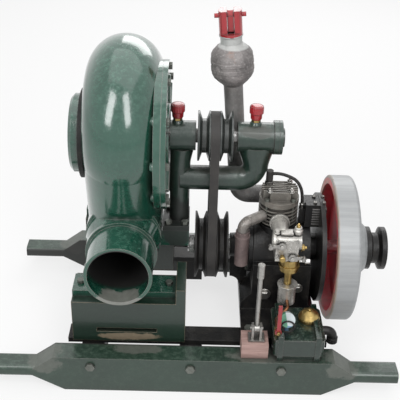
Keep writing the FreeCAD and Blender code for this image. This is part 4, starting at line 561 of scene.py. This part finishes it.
def inner_shade(surface):
    """Painted shade: dark on the sides of the rails that face the machine, where shadow falls."""
    values = {0: surface.part(surface.place, 1)}
    away = surface.node("ShaderNodeMath", values, operation="ABSOLUTE").outputs[0]
    return surface.times(surface.mask(away, (DARK_SIDE + 4) * MM, DARK_SIDE * MM), 0.85)


def column_shade(surface):
    """Painted shade: dark round the foot of the column, where shadow falls."""
    return surface.times(surface.patch((-38, 0, 236), (42, 60, 62), 0.5), 0.8)


FINISH = {
    "casing": paint(
        "casing_paint", GREEN, GREEN_FADED, GREY_BARE,
        wear=0.7, mottle=0.8, gloss=0.14, scuff=0.25, coat=0.75,
        patches=[((-129, -188, 190), (54, 26, 16))], shade=bore_shade,
    ),
    "rails": paint(
        "rail_paint", RAIL_GREEN, (0.068, 0.108, 0.08), (0.13, 0.14, 0.12),
        wear=1.0, mottle=0.75, gloss=0.32, scuff=0.5, shade=inner_shade,
        patches=[
            ((-262, -184, 60), (34, 40, 26)), ((262, -184, 60), (34, 40, 26)),
            ((-262, 184, 60), (34, 40, 26)), ((262, 184, 60), (34, 40, 26)),
            ((-100, -176, 74), (46, 14, 7)), ((120, -186, 74), (60, 24, 6)),
        ],
    ),
    "pedestal": paint(
        "pedestal_paint", (0.005, 0.021, 0.012), (0.032, 0.062, 0.043), (0.30, 0.23, 0.15),
        wear=0.8, mottle=0.5, gloss=0.28, scuff=0.15, patches=[((-116, -155, 84), (56, 8, 8))],
    ),
    "bracket": paint(
        "bracket_paint", (0.008, 0.030, 0.020), (0.060, 0.085, 0.068), (0.065, 0.068, 0.058),
        wear=1.1, mottle=1.0, gloss=0.28, shade=column_shade,
        patches=[((34, -8, 347), (62, 24, 8)), ((100, -10, 424), (36, 20, 10))],
    ),
    "tank": paint(
        "tank_paint", (0.006, 0.022, 0.014), (0.075, 0.115, 0.088), (0.20, 0.19, 0.17),
        wear=1.0, mottle=0.6, gloss=0.2, scuff=0.3,
    ),
    "pulley": paint(
        "pulley_paint", (0.010, 0.019, 0.016), (0.05, 0.062, 0.058), (0.14, 0.14, 0.135),
        wear=1.2, mottle=0.7, gloss=0.32,
    ),
    "red": paint(
        "red_paint", RED, (0.38, 0.05, 0.05), (0.13, 0.05, 0.045),
        wear=1.0, mottle=0.5, gloss=0.24, grime_and_shade=0.95, scuff=0.5,
    ),
    "black": oily_black("engine_black"),
    "dusty_black": oily_black("frame_black", (0.008, 0.008, 0.008), 0.5, 0.25),
    "grey": casting("grey_iron", (0.16, 0.155, 0.15), rust=0.25),
    "pipe": casting("pipe_iron", (0.27, 0.262, 0.255), rust=0.15, roughness=0.6, oil_and_shade=0.3),
    "fins": casting("barrel_iron", (0.24, 0.225, 0.20), rust=0.15, metal=0.3, roughness=0.5, oil_and_shade=0.7),
    "elbow": casting("elbow_iron", (0.30, 0.28, 0.26), rust=0.15, metal=0.3, roughness=0.32, oil_and_shade=0.3),
    "sleeve": casting("sleeve_tin", (0.20, 0.15, 0.145), rust=0.1, metal=0.2, grain=0.0005, oil_and_shade=0.5),
    "nickel": bright_metal("pale_nickel", (0.80, 0.79, 0.77), 0.28, 0.25),
    "alloy": casting(
        "carburettor_alloy", (0.62, 0.60, 0.56), rust=0.1, metal=0.5, roughness=0.34, grain=0.0006, oil_and_shade=0.9,
    ),
    "steel": bright_metal("dull_steel", (0.42, 0.41, 0.39), 0.36, 0.6),
    "bolt": bright_metal("bolt_steel", (0.17, 0.18, 0.16), 0.42, 0.6, metal=0.5),
    "polished": bright_metal("shaft_steel", (0.62, 0.62, 0.61), 0.2, 0.25),
    "brass": bright_metal("dull_brass", (0.50, 0.36, 0.14), 0.36, 0.5),
    "copper": bright_metal("pipe_copper", (0.50, 0.24, 0.13), 0.36, 0.6),
    "rubber": make_rubber("belt_rubber"),
    "lead": make_rubber("lead_rubber", (0.02, 0.019, 0.018), 400, 0.35),
    "wood": make_wood("raw_wood"),
    "flywheel": flywheel_finish(),
    "muffler": muffler_finish((0.27, 0.25, 0.245)),
    "dial": gauge_finish(),
}

NODE_FINISH = {
    "casing": ["volute_casing", "back_plate", "inlet_collar"],
    "rails": ["front_rail", "rear_rail"],
    "pedestal": ["front_pedestal", "rear_pedestal"],
    "bracket": ["bearing_bracket", "bearing_end_cap"],
    "tank": ["fuel_tank"],
    "pulley": ["driven_pulley"],
    "red": ["left_grease_cap", "right_grease_cap", "outlet_fork", "outlet_flap", "tap_lever"],
    "black": ["crankcase", "crankcase_cover", "magneto_plate", "rope_sheave", "ignition_coil", "drain_elbow"],
    "dusty_black": ["cross_beams", "bearers", "inlet_flange", "drive_pulley"],
    "grey": ["impeller", "piston"],
    "elbow": ["inlet_elbow"],
    "pipe": ["exhaust_pipe"],
    "fins": ["cylinder_barrel", "cylinder_head"],
    "sleeve": ["air_cleaner"],
    "alloy": ["carburettor_body", "float_bowl"],
    "steel": [
        "connecting_rod", "wrist_pin", "lever_bracket", "control_lever", "throttle_lever",
        "choke_lever", "spark_plug",
    ],
    "bolt": ["bolts"],
    "nickel": ["mixture_needle"],
    "polished": ["blower_shaft", "crankshaft"],
    "brass": [
        "mixing_chamber", "filler_cap", "grease_cup_stems", "bearing_bushes", "main_bushes",
        "fuel_tap",
    ],
    "copper": ["fuel_pipe"],
    "rubber": ["v_belt", "plug_boot"],
    "lead": ["ignition_lead"],
    "wood": ["wood_block"],
    "flywheel": ["flywheel"],
    "muffler": ["muffler"],
    "dial": ["fuel_gauge"],
}


def dress_nodes():
    for finish, names in NODE_FINISH.items():
        for name in names:
            mesh = nodes[name].data
            mesh.materials.clear()
            mesh.materials.append(FINISH[finish])


# ---------------------------------------------------------------- camera, floor and light

# the camera stands at CAMERA_PLACE in metres, its angles are degrees and its lens millimetres
CAMERA_PLACE = (-0.0085, -1.29112, 1.0446)
CAMERA_DOWN = 30.72
CAMERA_YAW = 0.57
CAMERA_ROLL = 1.7
CAMERA_LENS = 74.13


def make_camera():
    down, yaw, roll = (math.radians(part) for part in (CAMERA_DOWN, CAMERA_YAW, CAMERA_ROLL))
    forward = Vector((math.sin(yaw) * math.cos(down), math.cos(yaw) * math.cos(down), -math.sin(down)))
    right = Vector((math.cos(yaw), -math.sin(yaw), 0))
    up = right.cross(forward)
    across = right * math.cos(roll) + up * math.sin(roll)
    upright = up * math.cos(roll) - right * math.sin(roll)
    data = bpy.data.cameras.new("camera")
    data.sensor_width = 36
    data.lens = CAMERA_LENS
    data.clip_start = 0.05
    data.clip_end = 60
    camera = bpy.data.objects.new("camera", data)
    turn = Matrix((across, upright, -forward)).transposed().to_4x4()
    camera.matrix_world = Matrix.Translation(CAMERA_PLACE) @ turn
    bpy.context.scene.collection.objects.link(camera)
    bpy.context.scene.camera = camera


def lamp(name, place, aim, size, power):
    data = bpy.data.lights.new(name, "AREA")
    data.shape = "RECTANGLE"
    data.size, data.size_y = size
    data.energy = power
    thing = bpy.data.objects.new(name, data)
    thing.location = place
    thing.rotation_mode = "QUATERNION"
    thing.rotation_quaternion = (Vector(aim) - Vector(place)).to_track_quat("-Z", "Y")
    bpy.context.scene.collection.objects.link(thing)


def white_rays(tree):
    """1 for camera, glossy and transmission rays, 0 for the rays that light the object."""
    path = tree.nodes.new("ShaderNodeLightPath")
    total = None
    for kind in ("Is Camera Ray", "Is Glossy Ray", "Is Transmission Ray"):
        if total is None:
            total = path.outputs[kind]
            continue
        join = tree.nodes.new("ShaderNodeMath")
        join.operation = "MAXIMUM"
        tree.links.new(total, join.inputs[0])
        tree.links.new(path.outputs[kind], join.inputs[1])
        total = join.outputs[0]
    return total


WORLD_LIGHT = 0.42
FLOOR_GLOW = 0.72


def make_studio():
    """A white floor and background, four soft boxes, and the plain view transform."""
    scene = bpy.context.scene
    scene.view_settings.view_transform = "Standard"
    world = bpy.data.worlds.new("studio")
    scene.world = world
    world.use_nodes = True
    tree = world.node_tree
    back = tree.nodes["Background"]
    back.inputs["Color"].default_value = (1, 1, 1, 1)
    level = tree.nodes.new("ShaderNodeMapRange")
    tree.links.new(white_rays(tree), level.inputs["Value"])
    level.inputs["To Min"].default_value = WORLD_LIGHT
    level.inputs["To Max"].default_value = 1.0
    tree.links.new(level.outputs[0], back.inputs["Strength"])

    form = bmesh.new()
    bmesh.ops.create_grid(form, x_segments=2, y_segments=2, size=9)
    mesh = bpy.data.meshes.new("floor")
    form.to_mesh(mesh)
    form.free()
    floor = bpy.data.objects.new("floor", mesh)
    floor.location.z = -0.0005
    scene.collection.objects.link(floor)
    material = bpy.data.materials.new("floor_white")
    material.use_nodes = True
    tree = material.node_tree
    shader = tree.nodes["Principled BSDF"]
    shader.inputs["Base Color"].default_value = (0.82, 0.82, 0.82, 1)
    shader.inputs["Roughness"].default_value = 0.9
    glow = tree.nodes.new("ShaderNodeEmission")
    glow.inputs["Strength"].default_value = 1.0
    share = tree.nodes.new("ShaderNodeMath")
    share.operation = "MULTIPLY"
    tree.links.new(white_rays(tree), share.inputs[0])
    share.inputs[1].default_value = FLOOR_GLOW
    mix = tree.nodes.new("ShaderNodeMixShader")
    tree.links.new(share.outputs[0], mix.inputs[0])
    tree.links.new(shader.outputs[0], mix.inputs[1])
    tree.links.new(glow.outputs[0], mix.inputs[2])
    tree.links.new(mix.outputs[0], tree.nodes["Material Output"].inputs["Surface"])
    mesh.materials.append(material)

    lamp("left_softbox", (-1.3, -1.7, 2.0), (-0.1, 0, 0.4), (0.8, 1.9), 34)
    lamp("right_softbox", (0.72, -1.85, 2.05), (-0.1, 0, 0.4), (0.7, 1.9), 28)
    lamp("top_softbox", (0.1, 0.35, 2.4), (0, 0, 0.2), (2.6, 2.2), 16)
    lamp("rear_softbox", (0.4, 2.2, 1.4), (0, 0, 0.3), (1.6, 1.0), 16)


# ---------------------------------------------------------------- blower details

BOLT_CIRCLE = 119


def make_casing_details():
    """Bosses behind the joint bolts, and a raised ring with ribs round the shaft."""
    flange = box("back_plate")[1].x
    centre = middle("blower_shaft")
    form = bmesh.new()
    for index in range(10):
        angle = math.radians(36 * index)
        across, up = BOLT_CIRCLE * math.cos(angle), BOLT_CIRCLE * math.sin(angle)
        spot = (flange - 26, across, centre.z + up)
        lathe(form, [(0, 6.5), (4, 9.0), (7, 9.3)], spot, X, 20)
    piece("casing_bosses", form, FINISH["casing"])
    form = bmesh.new()
    ring = [(0, 64), (2.2, 62), (2.2, 54), (0, 52), (-1, 52), (-1, 64)]
    lathe(form, ring, (flange, 0, centre.z), X, 72, closed=True)
    for index in range(6):
        angle = math.radians(30 + 60 * index)
        turn = Matrix.Translation((flange, 0, centre.z)) @ Matrix.Rotation(angle, 4, "X")
        slab(form, (-1, 60, -3), (3.5, 112, 3), 1.4, turn)
    piece("back_plate_ribs", form, FINISH["casing"])


def make_grease_caps():
    for side in ("left", "right"):
        node = side + "_grease_cap"
        low, high = box(node)
        centre = (low + high) / 2
        radius = (high.x - low.x) / 2
        height = high.z - low.z
        form = bmesh.new()
        grip = lambda angle: 1 - 0.045 * max(0.0, math.cos(angle * 18))
        skirt = [(0, radius * 0.74), (1.5, radius * 0.8), (height * 0.42, radius * 0.84)]
        lathe(form, skirt, (centre.x, centre.y, low.z), Z, 64)
        crown = [
            (height * 0.40, radius * 0.86), (height * 0.46, radius), (height * 0.86, radius),
            (height * 0.95, radius * 0.94),
        ]
        lathe(form, crown, (centre.x, centre.y, low.z), Z, 144, wave=grip)
        dome = [(height * 0.93, radius * 0.92), (height * 0.98, radius * 0.8), (height, radius * 0.5)]
        lathe(form, dome, (centre.x, centre.y, low.z), Z, 48)
        piece(side + "_grease_cup", form, FINISH["red"], node, (node,), 40)


def make_bracket_details():
    cap_face = box("bearing_bracket")[1].x
    axis = middle("blower_shaft").z
    form = bmesh.new()
    # cast flares between the bearing housings and the tubes that carry them
    loft(form, [
        ((101, 0, 346), 22.3, 22.3), ((101, 0, 358), 23.5, 22.6), ((100.5, 0, 370), 27, 23.2),
        ((100, 0, 382), 31, 24), ((100, 0, 394), 33, 24.5),
    ])
    loft(form, [
        ((-33, 0, 346), 18.3, 18.3), ((-32.5, 0, 360), 18.6, 18.8), ((-31, 0, 374), 20, 20.5),
        ((-29.5, 0, 388), 21.5, 22.5),
    ])
    piece("bearing_flares", form, FINISH["bracket"], sharp=60)
    form = bmesh.new()
    for place, reach in ((-38, 8.4), (97, 8.8)):
        boss = [(0, reach + 2), (3.5, reach + 1), (5.5, reach - 1)]
        lathe(form, boss, (place, 0, axis + 24.3), Z, 32)
    for index in range(4):
        angle = math.radians(45 + 90 * index)
        spot = (cap_face - 0.2, 22 * math.cos(angle), axis + 22 * math.sin(angle))
        slot_screw(form, spot, X, 3.2, 2.2)
    piece("bearing_bosses", form, FINISH["bracket"])


# ---------------------------------------------------------------- exhaust details

# the stack stands on STACK_FOOT, leans to the left, and carries the ball MUFFLER_HEIGHT up
LEAN = math.radians(5)
STACK = Vector((-math.sin(LEAN), 0, math.cos(LEAN)))
STACK_FOOT = Vector((77, 62, 258))
MUFFLER_HEIGHT = 262
MUFFLER_RADIUS = 38.4


def make_muffler():
    """The faceted ball with two bands and four bolted lugs, and the neck above it."""
    centre = STACK_FOOT + STACK * MUFFLER_HEIGHT
    neck = (box("muffler")[1].z - centre.z) / STACK.z
    form = bmesh.new()
    profile = [
        (-39, 17.5), (-36, 20), (-30, 27), (-22, 34), (-15, 37.4),
        (-10.5, 37.6), (-9.5, MUFFLER_RADIUS), (-3.5, MUFFLER_RADIUS), (-2.5, 37.5),
        (2.5, 37.5), (3.5, MUFFLER_RADIUS), (9, MUFFLER_RADIUS), (10, 37.6),
        (17, 37.2), (24, 33.5), (31, 27), (35, 21.5), (37.5, 19.2),
    ]
    facets = lambda angle: 1 - 0.022 * (0.5 + 0.5 * math.cos(angle * 8))
    lathe(form, profile, centre, STACK, 96, wave=facets)
    tube = [(36, 18.9), (neck - 4, 18.7), (neck - 2.5, 20.4), (neck - 0.4, 20.4)]
    lathe(form, tube, centre, STACK, 48)
    lugs = [Matrix.Rotation(math.radians(45 + 90 * index), 4, STACK) @ X for index in range(4)]
    for lug in lugs:
        spot = centre + lug * (MUFFLER_RADIUS - 5.5)
        lathe(form, [(-7, 5.4), (-6, 6), (6, 6), (7, 5.4)], spot, STACK, 20)
    thing = piece(
        "muffler_casting", form, FINISH["muffler"],
        replaces=("muffler",), sharp=32,
    )
    roughen(thing, 0.9, 90)
    form = bmesh.new()
    for lug in lugs:
        spot = centre + lug * (MUFFLER_RADIUS - 5.5)
        hex_head(form, spot + STACK * 6.8, STACK, 7, 3, washer=False, stud=1.5)
        hex_head(form, spot - STACK * 6.8, -STACK, 7, 3, washer=False)
    piece("muffler_bolts", form, FINISH["steel"])


# ---------------------------------------------------------------- engine details

def make_engine_details():
    head_high = box("cylinder_head")[1]
    centre = middle("cylinder_head")
    form = bmesh.new()
    for east in (-1, 1):
        for north in (-1, 1):
            spot = (centre.x + east * 19.5, centre.y + north * 19.5, head_high.z)
            hex_head(form, spot, Z, 8, 4, stud=3)
    piece("head_nuts", form, FINISH["steel"])

    low, high = box("crankcase_cover")
    axis = middle("crankshaft")
    form = bmesh.new()
    for index in range(6):
        angle = math.radians(60 * index + 15)
        turn = Matrix.Translation((low.x, 0, axis.z)) @ Matrix.Rotation(angle, 4, "X")
        start = high.x - low.x - 8.5
        slab(form, (start - 6, 24, -2.2), (start + 1.5, 41, 2.2), 1.0, turn)
    piece("cover_ribs", form, FINISH["black"])

    form = bmesh.new()
    # two plugs on the sump, the right one on a round flange
    hex_head(form, (128, -66, 118), -Y, 16, 7, washer=True)
    lathe(form, [(0, 11), (3, 11), (4.5, 9.5)], (188, -62, 132), -Y, 32)
    hex_head(form, (188, -66, 132), -Y, 13, 6, washer=False)
    piece("sump_plugs", form, FINISH["steel"])

    coil_low, coil_high = box("ignition_coil")
    form = bmesh.new()
    count = 7
    pitch = (coil_high.z - coil_low.z - 10) / count
    for index in range(count):
        base = coil_low.z + 5 + index * pitch
        top = base + pitch * 0.62
        slab(form, (208, coil_low.y - 1.4, base), (234, coil_high.y + 1.4, top), 0.5)
    piece("coil_laminations", form, FINISH["grey"])
    form = bmesh.new()
    for north in (-1, 1):
        for place in (213, 229):
            slot_screw(form, (place, north * 11, coil_high.z), Z, 3.4, 2.4)
    lathe(form, [(0, 5.2), (7, 4.6), (9, 5.4), (11, 4.2)], (191, 0, coil_low.z + 29), Z, 32)
    piece("coil_screws", form, FINISH["steel"])


# the route of the ignition lead from the plug boot to the coil, as in the CAD model
LEAD = [
    (132, 9, 331), (144, 9, 332), (160, 7, 329), (178, 5, 321), (188, 3, 304), (191, 1, 284),
    (191, 0, 267),
]
LEAD_RADIUS = 3


def make_ignition_lead():
    start = Vector(LEAD[0])
    start.x = box("ignition_lead")[0].x
    wire(
        "ignition_cable", [start, *LEAD[1:]], LEAD_RADIUS, FINISH["lead"],
        replaces=("ignition_lead",),
    )


def make_carburettor_details():
    """Screws, union, bolt and strap on the body, and the brass jets."""
    form = bmesh.new()
    face = Vector((158, -101, 241))
    for east, up in ((-17, 17), (17, 17), (-17, -15), (17, -15)):
        slot_screw(form, face + Vector((east, 0, up)), -Y, 3.6, 2.4)
    union = [(0, 7.5), (2, 8.2), (7, 8.2), (9, 6.5), (12, 6.5), (13, 5.2)]
    lathe(form, union, (176, -86, 266), Z, 32)
    hex_head(form, (140, -86, 266), Z, 9, 5, washer=True)
    slab(form, (146, -94, 265.5), (168, -78, 270), 1.2)
    piece("carburettor_fittings", form, FINISH["alloy"])
    form = bmesh.new()
    hex_head(form, (184, -86, 236), X, 10, 5, washer=True, stud=4)
    hex_head(form, (176, -86, 278.5), Z, 7, 4, washer=False, stud=3)
    lathe(form, [(0, 4), (5, 4), (6, 5.5), (11, 5.5), (12, 4.5)], (150, -101, 226), -Y, 24)
    piece("brass_jets", form, FINISH["brass"])


def make_gauge():
    low, high = box("fuel_gauge")
    centre = (low + high) / 2
    radius = (high.x - low.x) / 2
    face = low.y
    form = bmesh.new()
    rim = radius - 0.2
    bezel = [(0, rim), (0, radius - 2.6), (-1.6, radius - 2.9), (-2.4, radius - 1.6), (-1.8, rim)]
    lathe(form, bezel, (centre.x, face, centre.z), Y, 64, closed=True)
    piece("gauge_bezel", form, FINISH["black"])


# ---------------------------------------------------------------- controls and tank

def make_tank_details():
    low, high = box("filler_cap")
    centre = (low + high) / 2
    radius = (high.x - low.x) / 2
    form = bmesh.new()
    grip = lambda angle: 1 - 0.035 * max(0.0, math.cos(angle * 24))
    band = [(0, radius - 0.6), (1, radius + 0.6), (5, radius + 0.6), (6, radius - 0.8)]
    lathe(form, band, (centre.x, centre.y, low.z + 1), Z, 144, wave=grip)
    lathe(form, [(-2, 3.2), (1.5, 3.2), (2.4, 2.2)], (centre.x, centre.y, high.z), Z, 24)
    piece("filler_grip", form, FINISH["brass"], "filler_cap", sharp=40)
    low, high = box("fuel_tank")
    form = bmesh.new()
    slab(form, (low.x + 3, low.y - 1.0, high.z - 9), (high.x - 3, low.y + 1, high.z - 6.5), 0.6)
    for place in (low.x + 12, high.x - 12):
        slab(form, (place - 5, low.y - 1.6, low.z), (place + 5, high.y, high.z + 1.4), 0.6)
    piece("tank_straps", form, FINISH["tank"])


# ---------------------------------------------------------------- flywheel details

FLYWHEEL_BOLT_CIRCLE = 84
FLYWHEEL_WEB = 288


def make_flywheel_details():
    axis = middle("flywheel")
    form = bmesh.new()
    for index in range(3):
        angle = math.radians(30 + 120 * index)
        across = FLYWHEEL_BOLT_CIRCLE * math.cos(angle)
        up = FLYWHEEL_BOLT_CIRCLE * math.sin(angle)
        spot = (FLYWHEEL_WEB, across, axis.z + up)
        hex_head(form, spot, X, 10, 5, washer=True)
    piece("flywheel_bolts", form, FINISH["steel"], "crank")


dress_nodes()
make_camera()
make_studio()
make_casing_details()
make_grease_caps()
make_bracket_details()
make_muffler()
make_engine_details()
make_ignition_lead()
make_carburettor_details()
make_gauge()
make_tank_details()
make_flywheel_details()
